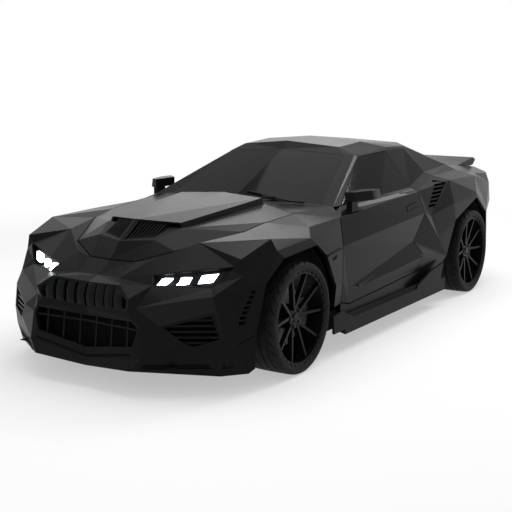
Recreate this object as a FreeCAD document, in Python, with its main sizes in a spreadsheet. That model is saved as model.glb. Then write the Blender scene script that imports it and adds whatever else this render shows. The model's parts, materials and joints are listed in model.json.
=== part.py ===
import FreeCAD, Part
import math
import os
import re
import Sketcher

from FreeCAD import Placement, Rotation, Vector

# A faceted wide-body muscle coupe, parked on its wheels.
# The nose points to -Y, the car's left side to +X and the roof to +Z.
# The origin is on the ground, below the middle of the wheelbase.

doc = FreeCAD.newDocument("muscle_coupe")

# Driving sizes, in millimetres and degrees
sizes = {
    "overall_length": 4900,
    "overall_width": 1980,
    "overall_height": 1390,
    "wheelbase": 2940,
    "shoulder_rise": 197.4,
    "wheel_inset": 5,
    "tyre_radius": 360,
    "tyre_width": 285,
    "tyre_bead_width": 252,
    "tyre_shoulder": 18,
    "rim_radius": 298,
    "rim_wall": 11,
    "rim_lip_height": 14,
    "rim_dish": 62,
    "spoke_width": 17,
    "spoke_depth": 34,
    "hub_radius": 68,
    "hub_bore_radius": 33,
    "bolt_circle_radius": 57,
    "bolt_hole_radius": 8,
    "disc_radius": 190,
    "disc_thickness": 30,
    "caliper_gap": 8,
    "caliper_thickness": 26,
    "kingpin_inset": 205,
    "knuckle_height": 230,
    "knuckle_width": 60,
    "panel_wall": 24,
    "door_depth": 222,
    "door_rear_taper": 30,
    "lid_wall": 30,
    "shut_gap": 6,
    "glass_thickness": 6,
    "arch_liner_gap": 95,
    "arch_liner_wall": 8,
    "arch_liner_inset": 75,
    "front_arch_room": 207.5,
    "rear_arch_room": 20,
    "floor_height": 165,
    "floor_plate": 22,
    "tunnel_width": 300,
    "tunnel_room": 35,
    "firewall_gap": 7,
    "cabin_rear_setback": 560,
    "bulkhead_plate": 20,
    "rail_drop": 110,
    "rear_arm_root": 220,
    "member_height": 56,
    "nose_room": 81,
    "rail_width": 80,
    "rail_height": 110,
    "engine_side_room": 92.5,
    "engine_front_room": 410,
    "engine_height": 560,
    "radiator_side_room": 62.5,
    "radiator_height": 330,
    "radiator_thickness": 60,
    "seat_clearance": 12,
    "seat_side_room": 88,
    "seat_tunnel_room": 10,
    "bench_side_room": 140,
    "steering_wheel_radius": 182,
    "steering_rim_radius": 15,
    "shaft_radius": 32,
    "diff_radius": 130,
    "exhaust_radius": 36,
    "exhaust_spacing": 560,
    "exhaust_tunnel_spacing": 180,
    "exhaust_axle_height": 200,
    "exhaust_tip_height": 262,
    "exhaust_tip_radius": 52,
    "exhaust_tip_wall": 5,
    "muffler_radius": 110,
    "muffler_tail_room": 22,
    "arm_radius": 20,
    "arm_gap": 12,
    "pin_radius": 12,
    "pin_depth": 30,
    "running_gap": 0.4,
    "strut_radius": 42,
    "rear_floor_height": 640,
    "tie_bar_depth": 120,
    "tie_bar_height": 24,
    "buffer_radius": 14,
    "buffer_spacing": 300,
    "latch_spacing": 700,
    "latch_shelf": 70,
    "pillar_inset": 140,
    "latch_pillar_depth": 130,
    "hinge_leaf_width": 40,
    "hinge_leaf_height": 60,
    "lower_hinge_height": 430,
    "upper_hinge_height": 640,
    "shelf_height": 890,
    "shelf_length": 600,
    "grille_frame": 16,
    "grille_slat": 12,
    "grille_pitch": 78,
    "grille_blade_width": 62,
    "grille_blade_depth": 26,
    "grille_blade_bulge": 18,
    "grille_recess": 8,
    "mouth_recess": 14,
    "vent_frame": 7,
    "vent_slat_pitch": 30,
    "vent_slat_height": 11,
    "vent_recess": 5,
    "lamp_frame": 5,
    "lamp_depth": 34,
    "lamp_block_recess": 7,
    "louvre_pitch": 21,
    "louvre_thickness": 7,
    "louvre_side_room": 10.8,
    "louvre_divider_width": 46,
    "louvre_setback": 6,
    "fin_thickness": 16,
    "mouth_bar_pitch": 128,
    "intake_slat_pitch": 34,
    "scoop_wall": 14,
    "skirt_reach": 58,
    "skirt_top": 250,
    "skirt_low": 130,
    "skirt_front_setback": 580,
    "skirt_rear_setback": 600,
    "spoiler_side_room": 13.6,
    "firewall_height": 730,
    "trunk_floor_room": 172,
    "rocker_height": 125,
    "gearbox_radius": 100,
    "gearbox_length": 620,
    "muffler_setback": 330,
    "soft_gap": 0.3,
    "seat_front_y": -330,
    "seat_depth": 780,
    "seat_height": 800,
    "bench_depth": 420,
    "bench_height": 420,
    "dash_base": 620,
    "dash_height": 292,
    "dash_depth": 330,
    "steering_wheel_y": -470,
    "steering_wheel_z": 830,
    "mirror_seat": 50,
    "mirror_lead": 8,
    "mirror_rise": 87.6,
    "mirror_foot_drop": 2.4,
    "mirror_reach": 128,
    "mirror_depth": 330,
    "mirror_height": 66,
    "mirror_foot_width": 45,
    "mirror_foot_length": 90,
}

# Sizes that follow from the driving ones, so that neighbours stay lined up and clear of each other
derived = {
    "belt_height": "2 * tyre_radius + shoulder_rise",
    "wheel_face_span": "overall_width - 2 * wheel_inset",
    "arch_inner_span": "overall_width - 2 * (wheel_inset + tyre_width + front_arch_room)",
    "rear_arch_span": "overall_width - 2 * (wheel_inset + tyre_width + rear_arch_room)",
    "arch_outer_reach": "overall_width / 2 - arch_liner_inset",
    "arch_liner_radius": "tyre_radius + arch_liner_gap",
    "firewall_setback": "arch_liner_radius + arch_liner_wall + firewall_gap",
    "door_inner_plane": "overall_width / 2 - door_depth",
    "pillar_outer_plane": "overall_width / 2 - pillar_inset",
    "engine_width": "arch_inner_span - 2 * (rail_width + engine_side_room)",
    "rail_base": "tyre_radius - rail_drop",
    "tunnel_height": "tyre_radius + tunnel_room - floor_height - floor_plate",
    "radiator_width": "arch_inner_span - 2 * (rail_width + radiator_side_room)",
    "seat_width": "door_inner_plane - seat_side_room - tunnel_width / 2 - seat_tunnel_room",
    "seat_spacing": "2 * (door_inner_plane - seat_side_room) - seat_width",
    "bench_width": "rear_arch_span - 2 * bench_side_room",
    "skirt_length": "wheelbase - skirt_front_setback - skirt_rear_setback",
}

sheet = doc.addObject("Spreadsheet::Sheet", "Sizes")
for row, (alias, value) in enumerate(sizes.items(), start=1):
    sheet.set("A%d" % row, alias)
    sheet.set("B%d" % row, str(value))
    sheet.setAlias("B%d" % row, alias)
doc.recompute()


def bound(text):
    # An expression in the sheet's names, with each derived size spelled out
    def spelled(match):
        word = match.group(0)
        if word in derived:
            return "(" + bound(derived[word]) + ")"
        return "Sizes." + word if word in sizes else word
    return re.sub("[a-z][a-z_]*", spelled, text)


def size(name):
    return float(sheet.evalExpression(bound(name)))


wall = size("panel_wall")
glass = size("glass_thickness")
shut = size("shut_gap")
lid = size("lid_wall")
door_inner = size("door_inner_plane")
half_width = size("overall_width") / 2
half_length = size("overall_length") / 2
roof_height = size("overall_height")
axle = {"front": -size("wheelbase") / 2, "rear": size("wheelbase") / 2}
wheel_radius = size("tyre_radius")
belt_height = size("belt_height")

# Shares of the half length at which the axles stand, and of the height at which the belt runs
axle_share = 0.6
belt_share = 0.66


def along_car(share):
    # A place along the car: between the axles it follows the wheelbase, beyond them the overhangs
    reach = abs(share)
    if reach <= axle_share:
        return math.copysign(axle["rear"] * reach / axle_share, share)
    overhang = half_length - axle["rear"]
    return math.copysign(axle["rear"] + overhang * (reach - axle_share) / (1 - axle_share), share)


def up_car(share):
    # A height: up to the belt it follows the wheels, above it the roof
    if share <= belt_share:
        return belt_height * share / belt_share
    return belt_height + (roof_height - belt_height) * (share - belt_share) / (1 - belt_share)


def beyond_axle(share):
    # The same place on an overhang, as an expression
    part = (abs(share) - axle_share) / (1 - axle_share)
    return "%s * (wheelbase / 2 + (overall_length - wheelbase) / 2 * %s)" % (math.copysign(1, share), part)


def corner(x_share, y_share, z_share):
    return Vector(x_share * half_width, along_car(y_share), up_car(z_share))


# Corners of the body shell, left half, as shares of half the width, half the length and the height
shell_shares = {
    "nose_mid": (0, -0.927, 0.481),
    "nose_side": (0.167, -0.926, 0.481),
    "nose_inner": (0.375, -0.900, 0.502),
    "nose_lamp": (0.505, -0.880, 0.517),
    "nose_corner": (0.829, -0.816, 0.547),
    "hood_cut_mid": (0, -0.881, 0.535),
    "hood_cut_in": (0.178, -0.873, 0.535),
    "hood_cut_out": (0.404, -0.824, 0.584),
    "crease_front": (0.303, -0.865, 0.552),
    "crease_mid": (0.533, -0.792, 0.624),
    "seam_front": (0.626, -0.653, 0.645),
    "seam_mid": (0.657, -0.565, 0.671),
    "seam_rear": (0.687, -0.443, 0.689),
    "seam_end": (0.727, -0.302, 0.702),
    "cowl_mid": (0, -0.351, 0.709),
    "cowl_side": (0.374, -0.345, 0.710),
    "scoop_low_mid": (0, -0.841, 0.612),
    "scoop_low": (0.223, -0.814, 0.622),
    "scoop_base": (0.303, -0.743, 0.665),
    "scoop_base_mid": (0, -0.760, 0.668),
    "scoop_tail": (0.374, -0.390, 0.712),
    "glass_low_mid": (0, -0.330, 0.709),
    "glass_low": (0.663, -0.274, 0.704),
    "glass_top": (0.516, -0.026, 0.919),
    "glass_top_mid": (0, -0.050, 0.944),
    "roof_front_mid": (0, -0.020, 0.985),
    "roof_front_side": (0.434, 0.004, 0.957),
    "roof_mid": (0, 0.130, 1.0),
    "roof_mid_side": (0.434, 0.150, 0.975),
    "roof_rear_mid": (0, 0.420, 0.960),
    "roof_rear_side": (0.444, 0.420, 0.945),
    "rail_front": (0.560, 0.010, 0.918),
    "rail_mid": (0.572, 0.231, 0.938),
    "rail_rear": (0.566, 0.364, 0.931),
    "pillar_foot": (0.783, -0.292, 0.699),
    "window_front": (0.800, -0.262, 0.700),
    "window_top_front": (0.576, 0.018, 0.908),
    "window_top_mid": (0.590, 0.200, 0.922),
    "window_top_rear": (0.586, 0.352, 0.917),
    "window_tip": (0.752, 0.372, 0.782),
    "window_low_rear": (0.808, 0.205, 0.721),
    "window_low_mid": (0.818, -0.012, 0.716),
    "belt_front": (0.889, -0.330, 0.660),
    "belt_mid": (0.886, -0.060, 0.684),
    "belt_rear": (0.889, 0.200, 0.701),
    "crease_door_front": (0.955, -0.360, 0.527),
    "crease_door_rear": (0.962, 0.196, 0.581),
    "wedge_seam": (0.950, -0.355, 0.345),
    "wedge_front": (0.939, -0.306, 0.306),
    "wedge_top_rear": (0.905, 0.160, 0.425),
    "wedge_low_rear": (0.965, 0.185, 0.352),
    "sill_front": (0.930, -0.350, 0.240),
    "sill_mid": (0.930, -0.300, 0.218),
    "sill_rear": (0.930, 0.170, 0.249),
    "fender_tip": (0.869, -0.813, 0.580),
    "fender_front": (0.909, -0.704, 0.644),
    "fender_rear": (0.909, -0.517, 0.655),
    "fender_low": (0.889, -0.813, 0.511),
    "fender_low_rear": (0.939, -0.800, 0.477),
    "sail_front": (0.828, 0.378, 0.762),
    "sail_top": (0.747, 0.565, 0.801),
    "sail_rear": (0.788, 0.625, 0.763),
    "deck_side": (0.808, 0.785, 0.719),
    "deck_corner": (0.800, 0.925, 0.700),
    "haunch_front": (0.909, 0.440, 0.729),
    "haunch_rear": (0.869, 0.730, 0.712),
    "haunch_low": (0.949, 0.254, 0.551),
    "rear_side_top": (0.869, 0.880, 0.650),
    "rear_side_mid": (0.889, 0.874, 0.536),
    "rear_side_low": (0.889, 0.840, 0.440),
    "rear_glass_top_mid": (0, 0.440, 0.955),
    "rear_glass_top": (0.444, 0.430, 0.940),
    "rear_glass_low": (0.640, 0.610, 0.795),
    "rear_glass_low_mid": (0, 0.650, 0.800),
    "deck_front_mid": (0, 0.662, 0.797),
    "deck_front": (0.640, 0.622, 0.790),
    "deck_rear_mid": (0, 0.975, 0.742),
    "deck_rear": (0.640, 0.960, 0.735),
    "rocker_front": (0.930, -0.350, 0.150),
    "rocker_rear": (0.930, 0.170, 0.150),
}

# Corners that follow a wheel arch: share of the half width, then shares of the wheel's radius
# along and above its centre
arch_shares = {
    "arch_f_top_front": ("front", 0.960, -0.740, 1.300),
    "arch_f_top_rear": ("front", 0.960, 0.380, 1.367),
    "arch_f1": ("front", 0.985, -1.170, 0.840),
    "arch_f2": ("front", 0.992, -0.640, 1.170),
    "arch_f3": ("front", 0.992, 0.480, 1.240),
    "arch_f4": ("front", 0.982, 0.890, 0.980),
    "arch_f5": ("front", 0.962, 1.360, 0.330),
    "arch_f6": ("front", 0.960, 1.300, -0.060),
    "arch_f_foot": ("front", 0.950, -1.330, 0.000),
    "arch_r_low": ("rear", 0.940, -1.650, -0.100),
    "arch_r0": ("rear", 0.955, -1.400, 0.100),
    "arch_r1": ("rear", 0.985, -1.120, 0.900),
    "arch_r2": ("rear", 0.992, 0.170, 1.310),
    "arch_r3": ("rear", 0.985, 0.900, 0.880),
    "arch_r4": ("rear", 0.940, 1.330, 0.150),
    "flare_r1": ("rear", 0.992, -1.290, 1.310),
    "flare_r2": ("rear", 0.985, 0.170, 1.430),
    "flare_r3": ("rear", 0.965, 1.080, 0.960),
    "flare_r0": ("rear", 0.958, -1.900, 0.560),
}

points = {}
for name, shares in shell_shares.items():
    points[name] = corner(*shares)
for name, (end, x_share, along_share, up_share) in arch_shares.items():
    points[name] = Vector(x_share * half_width,
                          axle[end] + along_share * wheel_radius,
                          (1 + up_share) * wheel_radius)

# Corners of the nose and front bumper, as the same shares
nose_shares = {
    "grille_top_mid": (0, -0.962, 0.462),
    "grille_top": (0.274, -0.972, 0.471),
    "grille_low_mid": (0, -0.971, 0.349),
    "grille_low": (0.345, -0.984, 0.367),
    "brow_in": (0.369, -0.990, 0.424),
    "brow_low": (0.393, -0.978, 0.383),
    "brow_corner": (0.782, -0.878, 0.433),
    "lamp_in": (0.414, -0.922, 0.464),
    "lamp_low": (0.727, -0.857, 0.458),
    "lamp_step": (0.758, -0.845, 0.476),
    "lamp_out": (0.818, -0.824, 0.530),
    "mouth_top_mid": (0, -0.967, 0.325),
    "mouth_top": (0.386, -0.986, 0.337),
    "mouth_corner": (0.428, -0.980, 0.301),
    "mouth_low": (0.392, -0.986, 0.209),
    "mouth_low_mid": (0, -0.978, 0.165),
    "lip_in_mid": (0, -0.982, 0.135),
    "lip_in": (0.450, -0.986, 0.173),
    "lip_out": (0.824, -0.886, 0.174),
    "intake_in": (0.548, -0.963, 0.316),
    "intake_top": (0.805, -0.890, 0.371),
    "intake_out": (0.854, -0.880, 0.252),
    "intake_low": (0.696, -0.918, 0.212),
    "intake_low_in": (0.646, -0.939, 0.243),
    "corner_low": (0.905, -0.835, 0.174),
    "splitter_mid": (0, -0.992, 0.105),
    "splitter_in": (0.378, -1.0, 0.118),
    "splitter_out": (0.818, -0.872, 0.090),
    "splitter_side": (0.930, -0.815, 0.090),
}

# Corners of the hood scoop, whose feet reach a little below the hood's skin
scoop_shares = {
    "lip_mid": (0, -0.776, 0.697),
    "lip_side": (0.283, -0.735, 0.686),
    "scoop_top_side": (0.350, -0.392, 0.741),
    "scoop_top_mid": (0, -0.378, 0.754),
    "scoop_foot_front": (0.303, -0.738, 0.655),
    "scoop_foot_rear": (0.374, -0.392, 0.700),
    "scoop_foot_rear_mid": (0, -0.372, 0.696),
}

# Light blocks of the left headlamp seen from the front, as shares of half the width and the height
light_block_shares = [
    [(0.436, 0.487), (0.486, 0.488), (0.463, 0.460), (0.429, 0.459)],
    [(0.541, 0.494), (0.594, 0.495), (0.581, 0.467), (0.531, 0.465)],
    [(0.655, 0.505), (0.738, 0.513), (0.714, 0.478), (0.644, 0.472)],
]

# Outlines of the side vents seen from the left, as shares of half the length and the height
vent_shares = {
    "bumper": [(-0.803, 0.456), (-0.789, 0.446), (-0.814, 0.303), (-0.842, 0.285)],
    "quarter": [(0.342, 0.748), (0.420, 0.722), (0.291, 0.580), (0.243, 0.600)],
    "fender": [(-0.436, 0.497), (-0.400, 0.501), (-0.402, 0.477), (-0.431, 0.474)],
}

# Fins of the splitter and skirts seen from the left, as the same shares
splitter_fin_shares = [(-0.872, 0.092), (-0.835, 0.225), (-0.803, 0.252), (-0.803, 0.110), (-0.815, 0.092)]
skirt_fin_shares = {
    "front": [(-0.428, 0.118), (-0.433, 0.205), (-0.383, 0.218), (-0.310, 0.165), (-0.300, 0.120)],
    "rear": [(0.118, 0.125), (0.126, 0.184), (0.234, 0.238), (0.339, 0.262), (0.306, 0.128), (0.246, 0.118)],
}

# Corners of the tail and rear bumper, as the same shares
tail_shares = {
    "deck_end": (0.760, 0.962, 0.703),
    "tail_lamp_top_mid": (0, 0.990, 0.680),
    "tail_lamp_top": (0.740, 0.968, 0.665),
    "tail_lamp_low_mid": (0, 0.994, 0.590),
    "tail_lamp_low": (0.770, 0.965, 0.575),
    "bumper_crease_mid": (0, 1.0, 0.450),
    "bumper_crease": (0.780, 0.960, 0.440),
    "bumper_low_mid": (0, 0.975, 0.260),
    "bumper_low": (0.740, 0.945, 0.250),
    "bumper_side_low": (0.880, 0.850, 0.250),
    "diffuser_mid": (0, 0.940, 0.130),
    "diffuser_out": (0.700, 0.915, 0.130),
    "diffuser_side": (0.840, 0.850, 0.150),
}

for table in (nose_shares, scoop_shares, tail_shares):
    for name, shares in table.items():
        points[name] = corner(*shares)

# Facets of each panel's left half, by the names of their corners
facets = {
    "hood": [
        ("hood_cut_mid", "hood_cut_in", "scoop_low", "scoop_low_mid"),
        ("hood_cut_in", "hood_cut_out", "scoop_low"),
        ("hood_cut_out", "seam_front", "scoop_base", "scoop_low"),
        ("seam_front", "seam_mid", "scoop_base"),
        ("seam_mid", "seam_rear", "scoop_tail", "scoop_base"),
        ("seam_rear", "seam_end", "cowl_side", "scoop_tail"),
        ("scoop_low_mid", "scoop_low", "scoop_base", "scoop_base_mid"),
        ("scoop_base_mid", "scoop_base", "scoop_tail", "cowl_side", "cowl_mid"),
    ],
    "cowl": [
        ("cowl_mid", "cowl_side", "glass_low", "glass_low_mid"),
        ("cowl_side", "seam_end", "pillar_foot", "glass_low"),
    ],
    "nose": [
        ("nose_mid", "nose_side", "hood_cut_in", "hood_cut_mid"),
        ("nose_side", "nose_inner", "crease_front", "hood_cut_in"),
        ("nose_inner", "nose_lamp", "crease_mid", "crease_front"),
        ("nose_lamp", "nose_corner", "crease_mid"),
        ("hood_cut_in", "crease_front", "hood_cut_out"),
        ("crease_front", "crease_mid", "hood_cut_out"),
        ("crease_mid", "seam_front", "hood_cut_out"),
    ],
    "bumper": [
        ("nose_mid", "nose_side", "grille_top", "grille_top_mid"),
        ("nose_side", "nose_inner", "lamp_in", "grille_top"),
        ("grille_top", "lamp_in", "brow_in"),
        ("grille_low_mid", "grille_low", "mouth_top", "mouth_top_mid"),
        ("grille_low", "brow_in", "brow_low"),
        ("grille_low", "brow_low", "mouth_top"),
        ("brow_in", "lamp_in", "brow_low"),
        ("lamp_in", "lamp_low", "brow_low"),
        ("lamp_low", "brow_corner", "brow_low"),
        ("lamp_low", "lamp_step", "brow_corner"),
        ("lamp_step", "lamp_out", "fender_low", "brow_corner"),
        ("fender_low", "fender_low_rear", "brow_corner"),
        ("brow_low", "brow_corner", "intake_top", "intake_in"),
        ("brow_low", "intake_in", "mouth_corner"),
        ("brow_low", "mouth_corner", "mouth_top"),
        ("mouth_corner", "intake_in", "intake_low_in", "lip_in"),
        ("mouth_corner", "lip_in", "mouth_low"),
        ("intake_low_in", "intake_low", "lip_in"),
        ("intake_low", "intake_out", "lip_out", "lip_in"),
        ("mouth_low_mid", "mouth_low", "lip_in", "lip_in_mid"),
        ("brow_corner", "fender_low_rear", "arch_f1", "arch_f_foot"),
        ("brow_corner", "arch_f_foot", "intake_out", "intake_top"),
        ("intake_out", "arch_f_foot", "corner_low", "lip_out"),
    ],
    "fender": [
        ("crease_mid", "nose_corner", "fender_tip"),
        ("crease_mid", "fender_tip", "fender_front", "seam_front"),
        ("seam_front", "fender_front", "seam_mid"),
        ("seam_mid", "fender_front", "fender_rear"),
        ("seam_mid", "fender_rear", "seam_rear"),
        ("seam_rear", "fender_rear", "belt_front"),
        ("seam_rear", "belt_front", "seam_end"),
        ("seam_end", "belt_front", "pillar_foot"),
        ("nose_corner", "fender_tip", "fender_low"),
        ("lamp_out", "nose_corner", "fender_low"),
        ("fender_tip", "fender_low", "fender_front"),
        ("fender_front", "fender_low", "fender_low_rear", "arch_f_top_front"),
        ("fender_low_rear", "arch_f1", "arch_f_top_front"),
        ("arch_f_top_front", "arch_f1", "arch_f2"),
        ("arch_f_top_front", "arch_f2", "arch_f3", "arch_f_top_rear"),
        ("fender_front", "arch_f_top_front", "arch_f_top_rear", "fender_rear"),
        ("fender_rear", "arch_f_top_rear", "arch_f3"),
        ("fender_rear", "arch_f3", "belt_front"),
        ("arch_f3", "arch_f4", "crease_door_front", "belt_front"),
        ("arch_f4", "arch_f5", "wedge_seam", "crease_door_front"),
        ("arch_f5", "arch_f6", "sill_front", "wedge_seam"),
    ],
    "roof": [
        ("glass_top_mid", "glass_top", "roof_front_side", "roof_front_mid"),
        ("glass_top", "rail_front", "roof_front_side"),
        ("roof_front_mid", "roof_front_side", "roof_mid_side", "roof_mid"),
        ("roof_front_side", "rail_front", "rail_mid", "roof_mid_side"),
        ("roof_mid", "roof_mid_side", "roof_rear_side", "roof_rear_mid"),
        ("roof_mid_side", "rail_mid", "rail_rear", "roof_rear_side"),
    ],
    "windshield": [
        ("glass_low_mid", "glass_low", "glass_top", "glass_top_mid"),
    ],
    "rear_glass": [
        ("roof_rear_mid", "roof_rear_side", "rear_glass_low", "rear_glass_low_mid"),
    ],
    "side": [
        ("glass_low", "glass_top", "rail_front", "pillar_foot"),
        ("pillar_foot", "rail_front", "window_top_front", "window_front"),
        ("rail_front", "rail_mid", "window_top_mid", "window_top_front"),
        ("rail_mid", "rail_rear", "window_top_rear", "window_top_mid"),
        ("window_top_rear", "rail_rear", "window_tip"),
        ("rail_rear", "sail_top", "window_tip"),
        ("rail_rear", "roof_rear_side", "sail_top"),
        ("roof_rear_side", "rear_glass_low", "sail_top"),
        ("window_tip", "sail_top", "sail_front"),
        ("window_tip", "sail_front", "belt_rear", "window_low_rear"),
        ("sail_front", "sail_top", "sail_rear", "haunch_front"),
        ("sail_rear", "deck_side", "haunch_rear", "haunch_front"),
        ("rear_glass_low", "deck_front", "sail_rear", "sail_top"),
        ("deck_front", "deck_rear", "deck_corner", "deck_side", "sail_rear"),
        ("belt_rear", "sail_front", "haunch_front", "haunch_low"),
        ("belt_rear", "haunch_low", "crease_door_rear"),
        ("haunch_front", "haunch_rear", "flare_r2", "flare_r1"),
        ("haunch_front", "flare_r1", "haunch_low"),
        ("haunch_low", "flare_r1", "arch_r1", "flare_r0"),
        ("crease_door_rear", "haunch_low", "flare_r0", "wedge_top_rear"),
        ("wedge_top_rear", "flare_r0", "arch_r0", "wedge_low_rear"),
        ("flare_r0", "arch_r1", "arch_r0"),
        ("wedge_low_rear", "arch_r0", "arch_r_low", "sill_rear"),
        ("sill_mid", "sill_rear", "rocker_rear", "rocker_front", "sill_front"),
        ("sill_rear", "arch_r_low", "rocker_rear"),
        ("flare_r1", "flare_r2", "arch_r2", "arch_r1"),
        ("flare_r2", "flare_r3", "arch_r3", "arch_r2"),
        ("flare_r3", "rear_side_low", "arch_r4", "arch_r3"),
        ("haunch_rear", "rear_side_top", "flare_r3", "flare_r2"),
        ("deck_side", "deck_corner", "rear_side_top", "haunch_rear"),
        ("rear_side_top", "rear_side_mid", "flare_r3"),
        ("rear_side_mid", "rear_side_low", "flare_r3"),
        ("rear_side_low", "bumper_side_low", "arch_r4"),
    ],
    "door": [
        ("window_front", "belt_front", "belt_mid", "window_low_mid"),
        ("window_low_mid", "belt_mid", "belt_rear", "window_low_rear"),
        ("belt_front", "crease_door_front", "crease_door_rear", "belt_rear", "belt_mid"),
        ("crease_door_front", "wedge_seam", "wedge_front"),
        ("crease_door_front", "wedge_front", "wedge_top_rear", "crease_door_rear"),
        ("wedge_front", "wedge_low_rear", "wedge_top_rear"),
        ("wedge_seam", "sill_front", "sill_mid", "wedge_front"),
        ("wedge_front", "sill_mid", "sill_rear", "wedge_low_rear"),
    ],
    "trunk": [
        ("deck_front_mid", "deck_front", "deck_rear", "deck_rear_mid"),
    ],
    "tail": [
        ("deck_rear_mid", "deck_rear", "tail_lamp_top", "tail_lamp_top_mid"),
        ("deck_end", "tail_lamp_top", "deck_rear", "deck_corner"),
        ("tail_lamp_low_mid", "tail_lamp_low", "bumper_crease", "bumper_crease_mid"),
        ("bumper_crease_mid", "bumper_crease", "bumper_low", "bumper_low_mid"),
        ("deck_corner", "rear_side_top", "tail_lamp_top", "deck_end"),
        ("tail_lamp_top", "rear_side_top", "rear_side_mid", "tail_lamp_low"),
        ("tail_lamp_low", "rear_side_mid", "rear_side_low", "bumper_crease"),
        ("bumper_crease", "rear_side_low", "bumper_side_low", "bumper_low"),
    ],
    "tail_lamps": [
        ("tail_lamp_top_mid", "tail_lamp_top", "tail_lamp_low", "tail_lamp_low_mid"),
    ],
    "door_glass": [
        ("window_top_mid", "window_low_rear", "window_low_mid", "window_front", "window_top_front"),
    ],
    "quarter_glass": [
        ("window_low_rear", "window_top_mid", "window_top_rear", "window_tip"),
    ],
    "grille": [
        ("grille_top_mid", "grille_top", "brow_in", "grille_low", "grille_low_mid"),
    ],
    "mouth": [
        ("mouth_top_mid", "mouth_top", "mouth_corner", "mouth_low", "mouth_low_mid"),
    ],
    "intake": [
        ("intake_in", "intake_top", "intake_out", "intake_low", "intake_low_in"),
    ],
    "scoop": [
        ("lip_mid", "lip_side", "scoop_top_side", "scoop_top_mid"),
        ("lip_side", "scoop_foot_front", "scoop_foot_rear", "scoop_top_side"),
        ("scoop_top_mid", "scoop_top_side", "scoop_foot_rear", "scoop_foot_rear_mid"),
    ],
    "splitter": [
        ("lip_in_mid", "lip_in", "splitter_in", "splitter_mid"),
        ("lip_in", "lip_out", "splitter_out", "splitter_in"),
        ("lip_out", "corner_low", "splitter_side", "splitter_out"),
    ],
    "diffuser": [
        ("bumper_low_mid", "bumper_low", "diffuser_out", "diffuser_mid"),
        ("bumper_low", "bumper_side_low", "diffuser_side", "diffuser_out"),
    ],
    "headlamp": [
        ("nose_inner", "nose_lamp", "lamp_low", "lamp_in"),
        ("nose_lamp", "nose_corner", "lamp_out", "lamp_step", "lamp_low"),
    ],
}


def triangles(names):
    # A flat or nearly flat facet as a fan of triangles
    return [(names[0], names[i], names[i + 1]) for i in range(1, len(names) - 1)]


def normal(a, b, c):
    return (b - a).cross(c - a).normalize()


def mirrored(vector):
    return Vector(-vector.x, vector.y, vector.z)


def twin(name):
    # The right half's name of a corner; corners on the middle plane are shared
    return name if points[name].x == 0 else name + "_right"


place = dict(points)
for name, point in points.items():
    place[twin(name)] = mirrored(point)


def leaves_car(tri):
    # Whether the triangle's normal points away from the car's heart
    a, b, c = (place[name] for name in tri)
    centre = (a + b + c) * (1 / 3)
    heart = Vector(0, 0.7 * centre.y, roof_height / 2)
    return normal(a, b, c).dot(centre - heart) > 0


def turned_alike():
    # Every triangle of the left half, turned outward by spreading from its neighbours
    loose = [(panel, tri) for panel, names in facets.items() for facet in names for tri in triangles(facet)]
    neighbours = {}
    for index, (panel, tri) in enumerate(loose):
        for start, end in zip(tri, tri[1:] + tri[:1]):
            neighbours.setdefault(frozenset((start, end)), []).append(index)
    turned = {}
    for seed in range(len(loose)):
        if seed in turned:
            continue
        tri = loose[seed][1]
        turned[seed] = tri if leaves_car(tri) else (tri[0], tri[2], tri[1])
        queue = [seed]
        while queue:
            tri = turned[queue.pop()]
            for start, end in zip(tri, tri[1:] + tri[:1]):
                for index in neighbours[frozenset((start, end))]:
                    if index in turned:
                        continue
                    a, b, c = loose[index][1]
                    against = (end, start) in ((a, b), (b, c), (c, a))
                    turned[index] = (a, b, c) if against else (a, c, b)
                    queue.append(index)
    panels = {}
    for index, (panel, tri) in enumerate(loose):
        panels.setdefault(panel, []).append(turned[index])
    return panels


left_half = turned_alike()


def inward_directions():
    # At each corner, the step that moves every facet around it inward by one unit, as near as can be
    around = {name: [] for name in points}
    for tri in (tri for panel in left_half.values() for tri in panel):
        facing = normal(*(place[name] for name in tri))
        for name in tri:
            around[name].append(facing)
            if points[name].x == 0:
                around[name].append(mirrored(facing))
    step_limit = 2
    sweeps = 80
    steps = {}
    for name, facings in around.items():
        step = Vector(0, 0, 0)
        for _ in range(sweeps):
            for facing in facings:
                step = step - facing * ((1 + facing.dot(step)) / 2)
        if step.Length > step_limit:
            step = step * (step_limit / step.Length)
        steps[name] = step
        if twin(name) != name:
            steps[twin(name)] = mirrored(step)
    return steps


inward = inward_directions()


def surface(panels, both_halves):
    # The triangles of one panel, or of several that are one piece
    tris = [tri for panel in panels.split() for tri in left_half[panel]]
    if both_halves:
        tris += [(twin(a), twin(c), twin(b)) for a, b, c in tris]
    return tris


def rim_edges(tris):
    # Edges that only one triangle has, each with its triangle
    edges = {}
    for tri in tris:
        for start, end in zip(tri, tri[1:] + tri[:1]):
            if (end, start) in edges:
                del edges[(end, start)]
            else:
                edges[(start, end)] = tri
    return edges


def drawn_in(tris, gap):
    # The corners, with those on the rim moved into the panel by the gap
    moved = {name: place[name] for tri in tris for name in tri}
    pulls = {}
    for (start, end), tri in rim_edges(tris).items():
        along = (place[end] - place[start]).normalize()
        pull = normal(*(place[name] for name in tri)).cross(along)
        for name in (start, end):
            pulls.setdefault(name, []).append(pull)
    for name, pair in pulls.items():
        total = pair[0] + pair[-1]
        reach = max(total.dot(pair[0]), 0.5)
        moved[name] = place[name] + total * (gap / reach)
    return moved


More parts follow.
